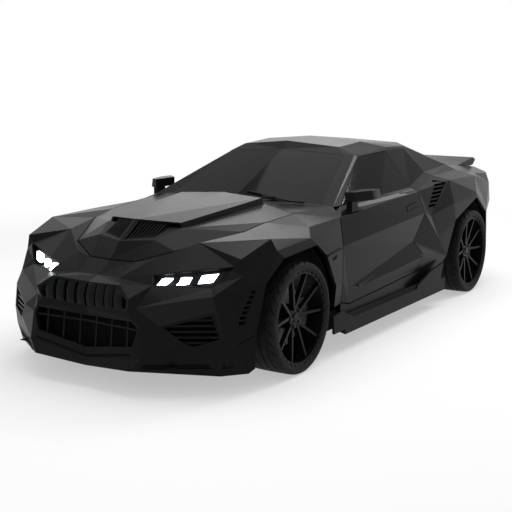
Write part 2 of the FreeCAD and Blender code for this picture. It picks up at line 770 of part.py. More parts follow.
def thick_shell(tris, outer, inner):
    faces = []

    def add(*corners):
        faces.append(Part.Face(Part.makePolygon(list(corners) + [corners[0]])))

    for a, b, c in tris:
        add(outer[a], outer[b], outer[c])
        add(inner[a], inner[c], inner[b])
    for start, end in rim_edges(tris):
        # The same diagonal on both halves of the car
        first, second = sorted((start, end), key=lambda name: name.removesuffix("_right"))
        add(outer[first], outer[second], inner[second])
        add(outer[first], inner[second], inner[first])
    solid = Part.makeSolid(Part.makeShell(faces))
    if solid.Volume < 0:
        solid.reverse()
    return solid


def panel_solid(panel, wall, both_halves=True, gap=0):
    tris = surface(panel, both_halves)
    outer = drawn_in(tris, gap)
    inner = {name: point + inward[name] * wall for name, point in outer.items()}
    return thick_shell(tris, outer, inner)


def panel_room(panel):
    # What a left-hand panel and a slim gap behind it take up
    return panel_solid(panel, wall + size("soft_gap"), both_halves=False)


def right_of(shape):
    return shape.mirror(Vector(0, 0, 0), Vector(1, 0, 0))


parts = []


def keep(feature, label):
    feature.Label = label
    parts.append(feature)
    return feature


def node(label, shape):
    feature = doc.addObject("Part::Feature", label)
    feature.Shape = shape
    return keep(feature, label)


def bind(feature, **expressions):
    for prop, text in expressions.items():
        feature.setExpression(prop, bound(text))


def put(feature, x="0", y="0", z="0", spin_axis=None, spin=0):
    if spin_axis:
        feature.Placement = Placement(Vector(), Rotation(spin_axis, spin))
    for axis_name, text in zip("xyz", (x, y, z)):
        feature.setExpression("Placement.Base." + axis_name, bound(text))


def block(name, span, base):
    # A box by its three lengths and its lowest corner
    feature = doc.addObject("Part::Box", name)
    bind(feature, Length=span[0], Width=span[1], Height=span[2])
    put(feature, *base)
    return feature


def rod(name, radius, length, base, spin_axis=None, spin=0, angle=None):
    # A round bar from its base; along +Z unless turned
    feature = doc.addObject("Part::Cylinder", name)
    bind(feature, Radius=radius, Height=length)
    if angle:
        bind(feature, Angle=angle)
    put(feature, *base, spin_axis=spin_axis, spin=spin)
    return feature


along_x = (Vector(0, 1, 0), 90)
along_y = (Vector(1, 0, 0), -90)


def fuse(name, shapes):
    feature = doc.addObject("Part::MultiFuse", name)
    feature.Shapes = shapes
    feature.Refine = True
    return feature


def cut(name, base, tool):
    feature = doc.addObject("Part::Cut", name)
    feature.Base = base
    feature.Tool = tool
    feature.Refine = True
    return feature


def origin_plane(body, role):
    for feature in body.Origin.OriginFeatures:
        if feature.Role == role:
            return feature


def sketch_on(body, role, name):
    sketch = body.newObject("Sketcher::SketchObject", name)
    sketch.AttachmentSupport = [(origin_plane(body, role), "")]
    sketch.MapMode = "FlatFace"
    return sketch


def outline(sketch, corners):
    # A closed line through corners given as pairs of expressions
    spots = [Vector(float(sheet.evalExpression(bound(x))), float(sheet.evalExpression(bound(y))), 0)
             for x, y in corners]
    first = sketch.GeometryCount
    count = len(spots)
    for i, spot in enumerate(spots):
        sketch.addGeometry(Part.LineSegment(spot, spots[(i + 1) % count]), False)
    for i in range(count):
        sketch.addConstraint(Sketcher.Constraint("Coincident", first + i, 2, first + (i + 1) % count, 1))
    for i, (x, y) in enumerate(corners):
        for kind, text, value in (("DistanceX", x, spots[i].x), ("DistanceY", y, spots[i].y)):
            mark = sketch.addConstraint(Sketcher.Constraint(kind, -1, 1, first + i, 1, value))
            sketch.setExpression("Constraints[%d]" % mark, bound(text))


def body_named(name):
    return doc.addObject("PartDesign::Body", name)


def revolved(body, name, corners):
    sketch = sketch_on(body, "XY_Plane", name + "_profile")
    outline(sketch, corners)
    turn = body.newObject("PartDesign::Revolution", name)
    turn.Profile = sketch
    turn.ReferenceAxis = (sketch, ["H_Axis"])
    turn.Angle = 360
    return turn


# Wheels, each in its own frame: axle along X, outer face towards +X
half_tyre = "tyre_width / 2"
hub_face = "tyre_width / 2 - rim_dish"
spoke_pairs = 5
spoke_lean_share = 0.25
foot_lean_share = 0.4
spoke_foot_width_share = 1.2
spoke_tip_width_share = 0.8


def tyre_body(name):
    body = body_named(name)
    revolved(body, name + "_carcass", [
        ("-tyre_bead_width / 2", "rim_radius"),
        ("-tyre_width / 2", "rim_radius + rim_lip_height"),
        ("-tyre_width / 2", "tyre_radius - tyre_shoulder * 2"),
        ("-tyre_width / 2 + tyre_shoulder", "tyre_radius"),
        ("tyre_width / 2 - tyre_shoulder", "tyre_radius"),
        ("tyre_width / 2", "tyre_radius - tyre_shoulder * 2"),
        ("tyre_width / 2", "rim_radius + rim_lip_height"),
        ("tyre_bead_width / 2", "rim_radius"),
    ])
    return body


def rim_body(name):
    body = body_named(name)
    revolved(body, name + "_barrel", [
        ("-tyre_bead_width / 2", "rim_radius"),
        ("tyre_bead_width / 2", "rim_radius"),
        ("tyre_bead_width / 2", "rim_radius - rim_lip_height"),
        ("tyre_bead_width / 2 - rim_wall", "rim_radius - rim_wall"),
        ("-tyre_bead_width / 2", "rim_radius - rim_wall"),
    ])
    return body


def spoke_solids():
    # Slim straight spokes in pairs that meet near the hub and lean out to the rim
    step = 2 * math.pi / spoke_pairs
    tilt = step * spoke_lean_share
    reach = size("rim_radius") - size("rim_wall") / 2
    foot = size("hub_radius") - size("rim_wall")
    wide = size("spoke_width")
    deep = size("spoke_depth")
    face_in = size("tyre_width") / 2 - size("rim_dish")
    face_out = size("tyre_bead_width") / 2 - size("rim_wall")
    solids = []
    for number in range(spoke_pairs):
        for lean in (-1, 1):
            end_angle = number * step + lean * tilt
            foot_angle = number * step + lean * tilt * foot_lean_share
            sections = []
            for radius, angle, face, width in ((foot, foot_angle, face_in, wide * spoke_foot_width_share),
                                               (reach, end_angle, face_out, wide * spoke_tip_width_share)):
                out = Vector(0, math.sin(end_angle), math.cos(end_angle))
                across = Vector(0, math.cos(end_angle), -math.sin(end_angle))
                spot = Vector(0, radius * math.sin(angle), radius * math.cos(angle))
                ring = [spot + across * (width / 2) + Vector(face, 0, 0),
                        spot - across * (width / 2) + Vector(face, 0, 0),
                        spot - across * (width / 3) + Vector(face - deep, 0, 0),
                        spot + across * (width / 3) + Vector(face - deep, 0, 0)]
                sections.append(Part.makePolygon(ring + [ring[0]]))
            solids.append(Part.makeLoft(sections, True, True))
    return solids


def hub_body(name):
    body = body_named(name)
    revolved(body, name + "_hub", [
        (hub_face, "hub_bore_radius"),
        (hub_face, "hub_radius"),
        (hub_face + " - spoke_depth - rim_wall", "hub_radius"),
        (hub_face + " - spoke_depth - rim_wall", "hub_radius + rim_lip_height"),
        ("disc_thickness / 3", "hub_radius + rim_lip_height"),
        ("disc_thickness / 3", "disc_radius"),
        ("-disc_thickness * 2 / 3", "disc_radius"),
        ("-disc_thickness * 2 / 3", "hub_bore_radius"),
    ])
    sketch = sketch_on(body, "YZ_Plane", name + "_bolt_circle")
    sketch.addGeometry(Part.Circle(Vector(size("bolt_circle_radius"), 0, 0), Vector(0, 0, 1),
                                   size("bolt_hole_radius")), False)
    across = sketch.addConstraint(Sketcher.Constraint("DistanceX", -1, 1, 0, 3, size("bolt_circle_radius")))
    sketch.setExpression("Constraints[%d]" % across, bound("bolt_circle_radius"))
    level = sketch.addConstraint(Sketcher.Constraint("PointOnObject", 0, 3, -1))
    round_mark = sketch.addConstraint(Sketcher.Constraint("Radius", 0, size("bolt_hole_radius")))
    sketch.setExpression("Constraints[%d]" % round_mark, bound("bolt_hole_radius"))
    pocket = body.newObject("PartDesign::Pocket", name + "_bolt_hole")
    pocket.Profile = sketch
    pocket.Type = "Length"
    pocket.setExpression("Length", bound("tyre_width"))
    pocket.Midplane = True
    doc.recompute()
    pattern = body.newObject("PartDesign::PolarPattern", name + "_bolt_holes")
    pattern.Originals = [pocket]
    for feature in body.Origin.OriginFeatures:
        if feature.Role == "X_Axis":
            pattern.Axis = (feature, [""])
    pattern.Angle = 360
    pattern.Occurrences = spoke_pairs
    body.Tip = pattern
    return body


tyre_master = tyre_body("tyre_master")
rim_master = rim_body("rim_master")
hub_master = hub_body("hub_master")
doc.recompute()
rim_shape = rim_master.Shape.fuse([hub_master.Shape] + spoke_solids()).removeSplitter()
wheel_x = size("wheel_face_span") / 2 - size("tyre_width") / 2
for end in ("front", "rear"):
    for side, turn in (("left", 0), ("right", 180)):
        where = Vector(wheel_x if side == "left" else -wheel_x, axle[end], wheel_radius)
        for label, shape in (("tyre", tyre_master.Shape), ("rim", rim_shape)):
            feature = node("%s_%s_%s" % (label, end, side), shape.copy())
            feature.Placement = Placement(where, Rotation(Vector(0, 0, 1), turn))

# Front knuckles with their calipers; the steering axis stands inboard of the wheel's middle
wheel_x_text = "(wheel_face_span / 2 - tyre_width / 2)"
kingpin_text = "(wheel_face_span / 2 - kingpin_inset)"
disc_back = "(" + wheel_x_text + " - disc_thickness * 2 / 3)"


def knuckle(label, axle_y, pins):
    upright = block(label + "_upright",
                    ("knuckle_width", "knuckle_width", "knuckle_height"),
                    (kingpin_text + " - knuckle_width / 2", axle_y + " - knuckle_width / 2",
                     "tyre_radius - knuckle_height / 2"))
    spindle = rod(label + "_spindle", "hub_bore_radius - running_gap", "rim_dish + spoke_depth",
                  (kingpin_text, axle_y, "tyre_radius"), *along_x)
    ring = rod(label + "_caliper_ring", "disc_radius + caliper_thickness",
               "disc_thickness + 2 * caliper_gap + 2 * caliper_thickness",
               (disc_back + " - caliper_gap - caliper_thickness", axle_y, "tyre_radius"),
               Vector(0, 1, 0), 90)
    core = rod(label + "_caliper_core", "disc_radius * 0.62", "tyre_width",
               (disc_back + " - tyre_width / 2", axle_y, "tyre_radius"), *along_x)
    slot = rod(label + "_caliper_slot", "disc_radius + caliper_gap", "disc_thickness + 2 * caliper_gap",
               (disc_back + " - caliper_gap", axle_y, "tyre_radius"), *along_x)
    window = block(label + "_caliper_window", ("tyre_width", "tyre_radius", "disc_radius"),
                   (disc_back + " - tyre_width / 2", axle_y, "tyre_radius - disc_radius / 2"))
    sector = doc.addObject("Part::MultiCommon", label + "_caliper_sector")
    sector.Shapes = [ring, window]
    caliper = cut(label + "_caliper", cut(label + "_caliper_rough", sector, core), slot)
    arm = block(label + "_caliper_arm", ("caliper_thickness", "disc_radius", "knuckle_width * 1.5"),
                (disc_back + " - caliper_gap - caliper_thickness", axle_y,
                 "tyre_radius - knuckle_width * 0.75"))
    whole = fuse(label + "_solid", [upright, spindle, caliper, arm])
    if pins:
        hole = rod(label + "_pin_hole", "pin_radius + running_gap", "knuckle_height * 2",
                   (kingpin_text, axle_y, "tyre_radius - knuckle_height"))
        bore_keep = block(label + "_web", ("knuckle_width", "knuckle_width", "knuckle_height - 2 * pin_depth"),
                          (kingpin_text + " - knuckle_width / 2", axle_y + " - knuckle_width / 2",
                           "tyre_radius - knuckle_height / 2 + pin_depth"))
        whole = fuse(label + "_whole", [cut(label + "_drilled", whole, hole), bore_keep])
    return whole


def both_sides(label, left):
    # The left piece as it is, and its mirror image on the right
    doc.recompute()
    node(label + "_left", left.Shape.copy())
    node(label + "_right", right_of(left.Shape))


both_sides("knuckle_front", knuckle("front_knuckle", "-wheelbase / 2", True))


def pair(name, left):
    image = doc.addObject("Part::Mirroring", name)
    image.Source = left
    image.Normal = Vector(1, 0, 0)
    return image


# Front suspension: cross member, arms with their ball pins, coil-over struts and the steering rack
rail_middle = "(arch_inner_span / 2 - rail_width / 2)"
member_low = "(tyre_radius - knuckle_height / 2 - arm_gap - arm_radius - member_height / 2)"


def front_suspension():
    y = "-wheelbase / 2"
    pieces = []
    for level, up in (("lower", "-1"), ("upper", "1")):
        offset = "(knuckle_height / 2 + arm_gap + arm_radius) * (%s)" % up
        centre = "tyre_radius + " + offset
        pieces.append(rod(level + "_arm", "arm_radius", kingpin_text + " - " + rail_middle,
                          (rail_middle, y, centre), *along_x))
        pin_base = "tyre_radius + knuckle_height / 2 - pin_depth + running_gap" if up == "1" else \
            "tyre_radius - knuckle_height / 2 - arm_gap - arm_radius"
        pieces.append(rod(level + "_pin", "pin_radius", "pin_depth + arm_gap + arm_radius - running_gap",
                          (kingpin_text, y, pin_base)))
        foot = "rail_base + rail_height" if up == "1" else member_low
        top = centre + " + arm_radius * 1.5" if up == "1" else "rail_base"
        pieces.append(block(level + "_mount", ("rail_width", "knuckle_width * 3", top + " - (" + foot + ")"),
                            (rail_middle + " - rail_width / 2", y + " - knuckle_width * 1.5", foot)))
    strut_length = "arch_liner_radius + knuckle_height / 2 + arm_gap + arm_radius" \
                   " - strut_radius * strut_radius / arch_liner_radius"
    pieces.append(rod("front_strut", "strut_radius", strut_length,
                      ("arch_inner_span / 2 + arch_liner_wall + strut_radius", y,
                       "tyre_radius - knuckle_height / 2 - arm_gap - arm_radius")))
    left = fuse("front_corner", pieces)
    member = block("front_cross_member", (rail_middle + " * 2", "knuckle_width * 2", "member_height"),
                   ("-" + rail_middle, y + " - knuckle_width", member_low))
    whole = fuse("front_suspension_solid", [left, pair("front_corner_right", left), member])
    doc.recompute()
    return whole


keep(front_suspension(), "front_suspension")


def rear_suspension():
    y = "wheelbase / 2"
    corner = knuckle("rear_upright", y, False)
    shaft = rod("half_shaft", "shaft_radius * 0.7", kingpin_text, ("0", y, "tyre_radius"), *along_x)
    arm = rod("rear_arm", "arm_radius", kingpin_text + " - rear_arm_root",
              ("rear_arm_root", y, "tyre_radius - knuckle_height / 2 + arm_radius"), *along_x)
    spring = rod("rear_spring", "strut_radius",
                 "rear_floor_height - tyre_radius + knuckle_height / 2 - arm_radius",
                 ("arch_inner_span / 2", y, "tyre_radius - knuckle_height / 2 + arm_radius"))
    diff = rod("rear_diff", "diff_radius", "diff_radius * 2", ("-diff_radius", y, "tyre_radius"), *along_x)
    member = block("rear_cross_member", ("rear_arm_root * 2", "knuckle_width", "rail_height / 2"),
                   ("-rear_arm_root", y + " - knuckle_width / 2", "tyre_radius - knuckle_height / 2"))
    left = fuse("rear_corner", [corner, shaft, arm, spring])
    whole = fuse("rear_suspension_solid", [left, pair("rear_corner_right", left), diff, member])
    doc.recompute()
    return whole


rear_axle = rear_suspension()
keep(rear_axle, "rear_suspension")

# Floor pan: plate with a tunnel, firewall, kick-up, rails and rocker boxes
sill_face = "(overall_width / 2 * %s - panel_wall - soft_gap)" % shell_shares["sill_front"][0]
firewall_y = "(-wheelbase / 2 + firewall_setback)"
bulkhead_y = "(wheelbase / 2 - cabin_rear_setback)"
floor_top = "(floor_height + floor_plate)"
tunnel_top = "(" + floor_top + " + tunnel_height)"
cabin_half = "(door_inner_plane - seat_clearance)"


def biggest(shape):
    return max(shape.Solids, key=lambda solid: solid.Volume)


def pillar(name, seam, outer_y, panel):
    # An upright post between a door's seam and a level further from the door, inside its panel's skin
    edge = [place[corner] for corner in seam]
    corners = [Vector(size("door_inner_plane") - size("seat_clearance"), point.y, point.z) for point in edge]
    base = size("floor_height") + size("rocker_height") / 2
    corners[0].z = base
    corners += [Vector(corners[0].x, outer_y, corners[-1].z), Vector(corners[0].x, outer_y, base)]
    post = doc.addObject("Part::Feature", name)
    reach = size("pillar_outer_plane") - corners[0].x
    solid = Part.Face(Part.makePolygon(corners + [corners[0]])).extrude(Vector(reach, 0, 0))
    post.Shape = biggest(solid.cut(panel_room(panel)))
    return post


hinge_seam = ("sill_front", "wedge_seam", "crease_door_front", "belt_front")
latch_seam = ("sill_rear", "wedge_low_rear", "wedge_top_rear", "crease_door_rear", "belt_rear")
hinge_pillar = pillar("hinge_pillar", hinge_seam, axle["front"] + size("firewall_setback"), "fender")
latch_pillar = pillar("latch_pillar", latch_seam, place["belt_rear"].y + size("latch_pillar_depth"), "side")
radiator_front = "(%s + nose_room)" % beyond_axle(shell_shares["nose_mid"][1])
radiator_top = "(rail_base + member_height + radiator_height)"


bulkhead_front = "(" + bulkhead_y + " - bulkhead_plate)"
rear_floor_end = "(%s - trunk_floor_room)" % beyond_axle(tail_shares["bumper_crease"][1])
firewall_rear = "(" + firewall_y + " + bulkhead_plate)"


def tunnel_way(name):
    # The open underside of the tunnel, also through the firewall and the rear bulkhead
    return block(name, ("tunnel_width - 2 * bulkhead_plate", "overall_length",
                        "floor_plate + tunnel_height - bulkhead_plate"),
                 ("-tunnel_width / 2 + bulkhead_plate", firewall_y + " - bulkhead_plate", "floor_height"))


def mirrored_pair(name, middles, lefts):
    return fuse(name, middles + lefts + [pair(left.Name + "_right", left) for left in lefts])


def floor_pan():
    pieces = [
        block("floor_plate", (sill_face + " * 2", bulkhead_y + " - " + firewall_rear, "floor_plate"),
              ("-" + sill_face, firewall_rear, "floor_height")),
        block("tunnel_hump", ("tunnel_width", bulkhead_y + " - " + firewall_rear, "tunnel_height"),
              ("-tunnel_width / 2", firewall_rear, floor_top)),
        block("bulkhead", ("rear_arch_span", "bulkhead_plate", "shelf_height - floor_height"),
              ("-rear_arch_span / 2", bulkhead_front, "floor_height")),
        block("parcel_shelf", ("rear_arch_span", "shelf_length", "bulkhead_plate"),
              ("-rear_arch_span / 2", bulkhead_front, "shelf_height")),
        block("rear_floor", ("rear_arch_span", rear_floor_end + " - " + bulkhead_front, "bulkhead_plate"),
              ("-rear_arch_span / 2", bulkhead_front, "rear_floor_height")),
    ]
    lefts = [
        block("rocker_box", (sill_face + " - " + cabin_half, bulkhead_y + " - " + firewall_y, "rocker_height"),
              (cabin_half, firewall_y, "floor_height")),
        hinge_pillar,
        latch_pillar,
    ]
    return cut("floor_pan_solid", mirrored_pair("floor_shell", pieces, lefts), tunnel_way("floor_way"))


def firewall():
    plate = block("firewall_plate", (cabin_half + " * 2", "bulkhead_plate", "firewall_height"),
                  ("-" + cabin_half, firewall_y, "floor_height"))
    return cut("firewall_solid", plate, tunnel_way("firewall_way"))


def front_rails():
    # Two rails with the radiator's frame between them
    pieces = [
        block("radiator_cross_bar", (rail_middle + " * 2", "radiator_thickness", "member_height"),
              ("-" + rail_middle, radiator_front, "rail_base")),
        block("radiator_tie_bar", ("radiator_width + 2 * bulkhead_plate", "tie_bar_depth", "tie_bar_height"),
              ("-radiator_width / 2 - bulkhead_plate", radiator_front, radiator_top)),
    ]
    lefts = [
        block("front_rail", ("rail_width", firewall_y + " - " + radiator_front, "rail_height"),
              (rail_middle + " - rail_width / 2", radiator_front, "rail_base")),
        block("radiator_post", ("bulkhead_plate", "radiator_thickness", "member_height + radiator_height"),
              ("radiator_width / 2", radiator_front, "rail_base")),
    ]
    return mirrored_pair("front_rails_solid", pieces, lefts)


keep(floor_pan(), "floor_pan")
keep(firewall(), "firewall")
keep(front_rails(), "front_rails")

# Arch liners: a half ring over each wheel, closed towards the middle of the car
def arch_liner(end, inner_half):
    centre = (inner_half, "wheelbase / 2" if end == "rear" else "-wheelbase / 2", "tyre_radius")
    ring_outer = rod(end + "_liner_outer", "arch_liner_radius + arch_liner_wall",
                     "arch_outer_reach - " + inner_half, centre, *along_x)
    ring_inner = rod(end + "_liner_inner", "arch_liner_radius", "arch_outer_reach",
                     (inner_half + " + arch_liner_wall", centre[1], centre[2]), *along_x)
    below = block(end + "_liner_below", ("overall_width", "overall_width", "overall_width"),
                  (inner_half + " - overall_width / 2", centre[1] + " - overall_width / 2",
                   "tyre_radius - overall_width"))
    # The arm or drive shaft passes through a window in the inner wall
    window = block(end + "_liner_window", ("arch_liner_wall * 3", "knuckle_width * 1.5",
                                           "knuckle_height / 2 + 2 * arm_gap + 2 * arm_radius"),
                   (inner_half + " - arch_liner_wall", centre[1] + " - knuckle_width * 0.75", centre[2]))
    arch = cut(end + "_liner_arch", cut(end + "_liner_ring", ring_outer, ring_inner), below)
    return cut(end + "_liner", arch, window)


def arch_liners():
    front = arch_liner("front", "arch_inner_span / 2")
    rear = arch_liner("rear", "rear_arch_span / 2")
    whole = doc.addObject("Part::Compound", "arch_liners_all")
    whole.Links = [front, rear, pair("front_liner_right", front), pair("rear_liner_right", rear)]
    return whole


liners = arch_liners()

engine_front = "(" + radiator_front + " + radiator_thickness + engine_front_room)"
keep(block("engine_solid", ("engine_width", firewall_y + " - bulkhead_plate - " + engine_front, "engine_height"),
           ("-engine_width / 2", engine_front,
            member_low + " + member_height")), "engine_block")
keep(block("radiator_solid", ("radiator_width", "radiator_thickness", "radiator_height"),
           ("-radiator_width / 2", radiator_front, "rail_base + member_height")), "radiator")


def along(a, b, radius):
    return Part.makeCylinder(radius, (b - a).Length, a, b - a)


pipe_bend_share = 2.2


def tube_run(spots, radius):
    # A round pipe along straight runs joined by tangent arcs
    bend = radius * pipe_bend_share
    edges = []
    start = spots[0]
    for before, spot, after in zip(spots, spots[1:], spots[2:]):
        into = (spot - before).normalize()
        out = (after - spot).normalize()
        turn = into.getAngle(out)
        reach = bend * math.tan(turn / 2)
        first = spot - into * reach
        last = spot + out * reach
        middle = spot + (out - into).normalize() * (bend / math.cos(turn / 2) - bend)
        edges.append(Part.makeLine(start, first))
        edges.append(Part.Arc(first, middle, last).toShape())
        start = last
    edges.append(Part.makeLine(start, spots[-1]))
    ring = Part.Wire(Part.makeCircle(radius, spots[0], spots[1] - spots[0]))
    return Part.Wire(edges).makePipeShell([ring], True, False)


def driveline():
    # Gearbox behind the engine and a prop shaft that meets the differential
    z = size("floor_height") + size("gearbox_radius")
    start = axle["front"] + size("firewall_setback") - size("bulkhead_plate")
    box_end = start + size("gearbox_length")
    gearbox = along(Vector(0, start, z), Vector(0, box_end, z), size("gearbox_radius"))
    shaft = along(Vector(0, box_end, z), Vector(0, axle["rear"], size("tyre_radius")), size("shaft_radius"))
    return gearbox.fuse(shaft).cut(rear_axle.Shape).Solids[0]


node("driveline", driveline())


def exhaust():
    # Twin pipes below the gearbox, through the tunnel, under the axle and into a muffler each
    radius = size("exhaust_radius")
    inner_x = size("exhaust_tunnel_spacing") / 2
    outer_x = size("exhaust_spacing") / 2
    engine_rear = axle["front"] + size("firewall_setback") - size("bulkhead_plate")
    below_engine = engine_base - radius - size("soft_gap")
    below_gearbox = size("floor_height") - radius - size("soft_gap")
    in_tunnel = size("floor_height") + radius + size("arm_gap") / 2
    gearbox_end = engine_rear + size("gearbox_length")
    bulkhead = axle["rear"] - size("cabin_rear_setback")
    axle_z = size("exhaust_axle_height")
    tip_z = size("exhaust_tip_height")
    muffler_y = axle["rear"] + size("muffler_setback")
    tip_y = place["diffuser_out"].y
    muffler_end = tip_y - size("muffler_tail_room")
    run = tube_run([
        Vector(inner_x, engine_rear - 6 * radius, below_engine),
        Vector(inner_x, engine_rear - 2 * radius, below_gearbox),
        Vector(inner_x, gearbox_end + radius, below_gearbox),
        Vector(inner_x, gearbox_end + 5 * radius, in_tunnel),
        Vector(inner_x, bulkhead + radius, in_tunnel),
        Vector(outer_x, axle["rear"] - size("diff_radius") * 2, axle_z),
        Vector(outer_x, axle["rear"] + size("diff_radius"), axle_z),
        Vector(outer_x, muffler_y, tip_z),
    ], radius)
    can = along(Vector(outer_x, muffler_y, tip_z), Vector(outer_x, muffler_end, tip_z), size("muffler_radius"))
    tip = along(Vector(outer_x, muffler_y, tip_z), Vector(outer_x, tip_y, tip_z), size("exhaust_tip_radius"))
    bore = along(Vector(outer_x, muffler_end, tip_z), Vector(outer_x, tip_y + radius, tip_z),
                 size("exhaust_tip_radius") - size("exhaust_tip_wall"))
    left = run.fuse([can, tip]).cut(bore)
    link_y = gearbox_end - 4 * radius
    link = along(Vector(-inner_x, link_y, below_gearbox), Vector(inner_x, link_y, below_gearbox), radius)
    return left.fuse([right_of(left), link])


engine_base = float(sheet.evalExpression(bound(member_low + " + member_height")))
exhaust_shape = exhaust()
node("exhaust", exhaust_shape)

# Cabin pieces
def profile_pad(name, corners, width, centre_x):
    # A side profile, as pairs of expressions along Y and Z, padded across the car
    body = body_named(name)
    sketch = sketch_on(body, "YZ_Plane", name + "_profile")
    outline(sketch, corners)
    pad = body.newObject("PartDesign::Pad", name + "_pad")
    pad.Profile = sketch
    pad.setExpression("Length", bound(width))
    pad.Midplane = True
    body.setExpression("Placement.Base.x", bound(centre_x))
    return body


def seat_corners(base_y, base_z, depth, height, shares):
    return [("%s + %s * %s" % (base_y, depth, y), "%s + %s * %s" % (base_z, height, z)) for y, z in shares]


front_seat_shares = [(0.10, 0), (0.0, 0.24), (0.03, 0.30), (0.62, 0.22), (0.80, 0.80), (0.84, 1.0),
                     (0.94, 1.0), (1.0, 0.78), (0.80, 0)]
rear_bench_shares = [(0.0, 0), (0.0, 0.32), (0.60, 0.24), (0.82, 1.0), (1.0, 1.0), (1.0, 0)]


def front_seats():
    corners = seat_corners("seat_front_y", floor_top + " + soft_gap", "seat_depth", "seat_height",
                           front_seat_shares)
    left = profile_pad("front_seat", corners, "seat_width", "seat_spacing / 2")
    both = doc.addObject("Part::Compound", "front_seat_pair")
    both.Links = [left, pair("front_seat_right", left)]
    return both


keep(front_seats(), "front_seats")
bench_corners = seat_corners(bulkhead_y + " - bulkhead_plate - soft_gap - bench_depth",
                             tunnel_top + " + soft_gap", "bench_depth", "bench_height", rear_bench_shares)
keep(profile_pad("rear_bench_solid", bench_corners, "bench_width", "0"), "rear_bench")

dash_shares = [(0, 0.2), (0, 1.0), (0.55, 1.0), (1.0, 0.75), (0.9, 0.25), (0.5, 0)]
dash_corners = seat_corners(firewall_y + " + bulkhead_plate", "dash_base", "dash_depth", "dash_height",
                            dash_shares)
dash_body = profile_pad("dashboard_solid", dash_corners, cabin_half + " * 2", "0")
doc.recompute()
fender_room = panel_room("fender")
dashboard = node("dashboard", biggest(dash_body.Shape.cut([fender_room, right_of(fender_room)])))


def steering_wheel():
    tilt = 65
    hub = Vector(size("seat_spacing") / 2, size("steering_wheel_y"), size("steering_wheel_z"))
    radius = size("steering_wheel_radius")
    rim = size("steering_rim_radius")
    ring = Part.makeTorus(radius, rim)
    pieces = [Part.makeCylinder(rim * 2.4, rim * 3, Vector(0, 0, -rim * 1.5))]
    for angle in (0, 180, 270):
        arm = Part.makeBox(radius, rim * 1.6, rim, Vector(0, -rim * 0.8, -rim / 2))
        arm.rotate(Vector(), Vector(0, 0, 1), angle)
        pieces.append(arm)
    dash_face = axle["front"] + size("firewall_setback") + size("bulkhead_plate") + size("dash_depth")
    column_length = (hub.y - dash_face) / math.sin(math.radians(tilt)) + size("dash_depth") * 0.1
    pieces.append(Part.makeCylinder(rim * 1.6, column_length, Vector(), Vector(0, 0, -1)))
    whole = ring.fuse(pieces)
    whole.rotate(Vector(), Vector(1, 0, 0), -tilt)
    whole.translate(hub)
    return whole


node("steering_wheel", steering_wheel().cut(dashboard.Shape).Solids[0])

# Body shell panels

def slab(panel, near, far, both_halves=True, gap=0):
    # The layer of a panel between two depths below its skin
    tris = surface(panel, both_halves)
    outer = drawn_in(tris, gap)
    layers = [{name: point + inward[name] * depth for name, point in outer.items()} for depth in (near, far)]
    return thick_shell(tris, *layers)


def grille_rim(panel, both_halves):
    # A rim that fills the opening's edge
    hollow = slab(panel, -wall, 2 * wall, both_halves, size("grille_frame"))
    return slab(panel, 0, wall, both_halves).cut(hollow)


def barred_grille(panel, both_halves, bars, recess):
    # Thin bars set back inside a rim
    blades = slab(panel, recess, wall, both_halves).common(bars[0].fuse(bars[1:]))
    return grille_rim(panel, both_halves).fuse(blades.Solids).cut(bumper_shape)


def between(first, second, share):
    return first + (second - first) * share


def on_edge(inner, outer, x):
    # The point of an edge above a given distance from the middle plane
    share = min(abs(x) / place[outer].x, 1)
    spot = between(place[inner], place[outer], share)
    return Vector(x, spot.y, spot.z)


def blade(x):
    # A wide upright blade whose face bulges forward
    width = size("grille_blade_width")
    depth = Vector(0, size("grille_blade_depth"), 0)
    top = on_edge("grille_top_mid", "grille_top", x) - Vector(0, 0, size("grille_frame") / 2)
    low = on_edge("grille_low_mid", "grille_low", x) + Vector(0, 0, size("grille_frame") / 2)
    crown = between(top, low, 0.5) - Vector(0, size("grille_blade_bulge"), 0)
    edges = [Part.Arc(top, crown, low).toShape(), Part.makeLine(low, low + depth),
             Part.makeLine(low + depth, top + depth), Part.makeLine(top + depth, top)]
    profile = Part.Face(Part.Wire(edges))
    profile.translate(Vector(-width / 2, 0, 0))
    return profile.extrude(Vector(width, 0, 0))


def bladed_grille():
    pitch = size("grille_pitch")
    count = int(2 * place["grille_low"].x / pitch)
    blades = [blade((number - (count - 1) / 2) * pitch) for number in range(count)]
    room = slab("grille", -2 * wall, 3 * wall, True, size("grille_frame") / 2)
    seated = [blade_solid.common(room) for blade_solid in blades]
    return grille_rim("grille", True).fuse(seated).cut(bumper_shape)


def upright_bars(pitch, count, width):
    return [Part.makeBox(width, half_length, roof_height, Vector((i - (count - 1) / 2) * pitch - width / 2,
                                                                 -half_length - wall, 0))
            for i in range(count)]


def level_bars(heights, width):
    return [Part.makeBox(2 * half_width, half_length, width, Vector(-half_width, -half_length - wall, height))
            for height in heights]


mouth_bar_share = 0.745


def front_grilles():
    slat = size("grille_slat")
    mouth_pitch = size("mouth_bar_pitch")
    mouth_bars = upright_bars(mouth_pitch, int(2 * place["mouth_corner"].x / mouth_pitch), slat)
    mouth_bars += level_bars([between(place["mouth_low_mid"].z, place["mouth_top_mid"].z, mouth_bar_share)], slat)
    mouth = barred_grille("mouth", True, mouth_bars, size("mouth_recess"))
    low = place["intake_low"].z
    slat_pitch = size("intake_slat_pitch")
    slat_count = int((place["intake_top"].z - low) / slat_pitch)
    heights = [low + slat_pitch * (step + 1) for step in range(slat_count)]
    intake = barred_grille("intake", False, level_bars(heights, slat), size("grille_recess"))
    return Part.makeCompound([bladed_grille(), mouth, intake, right_of(intake)])


def side_outline(shares):
    # A closed outline in the middle plane
    corners = [corner(0, y_share, z_share) for y_share, z_share in shares]
    return Part.makePolygon(corners + [corners[0]])


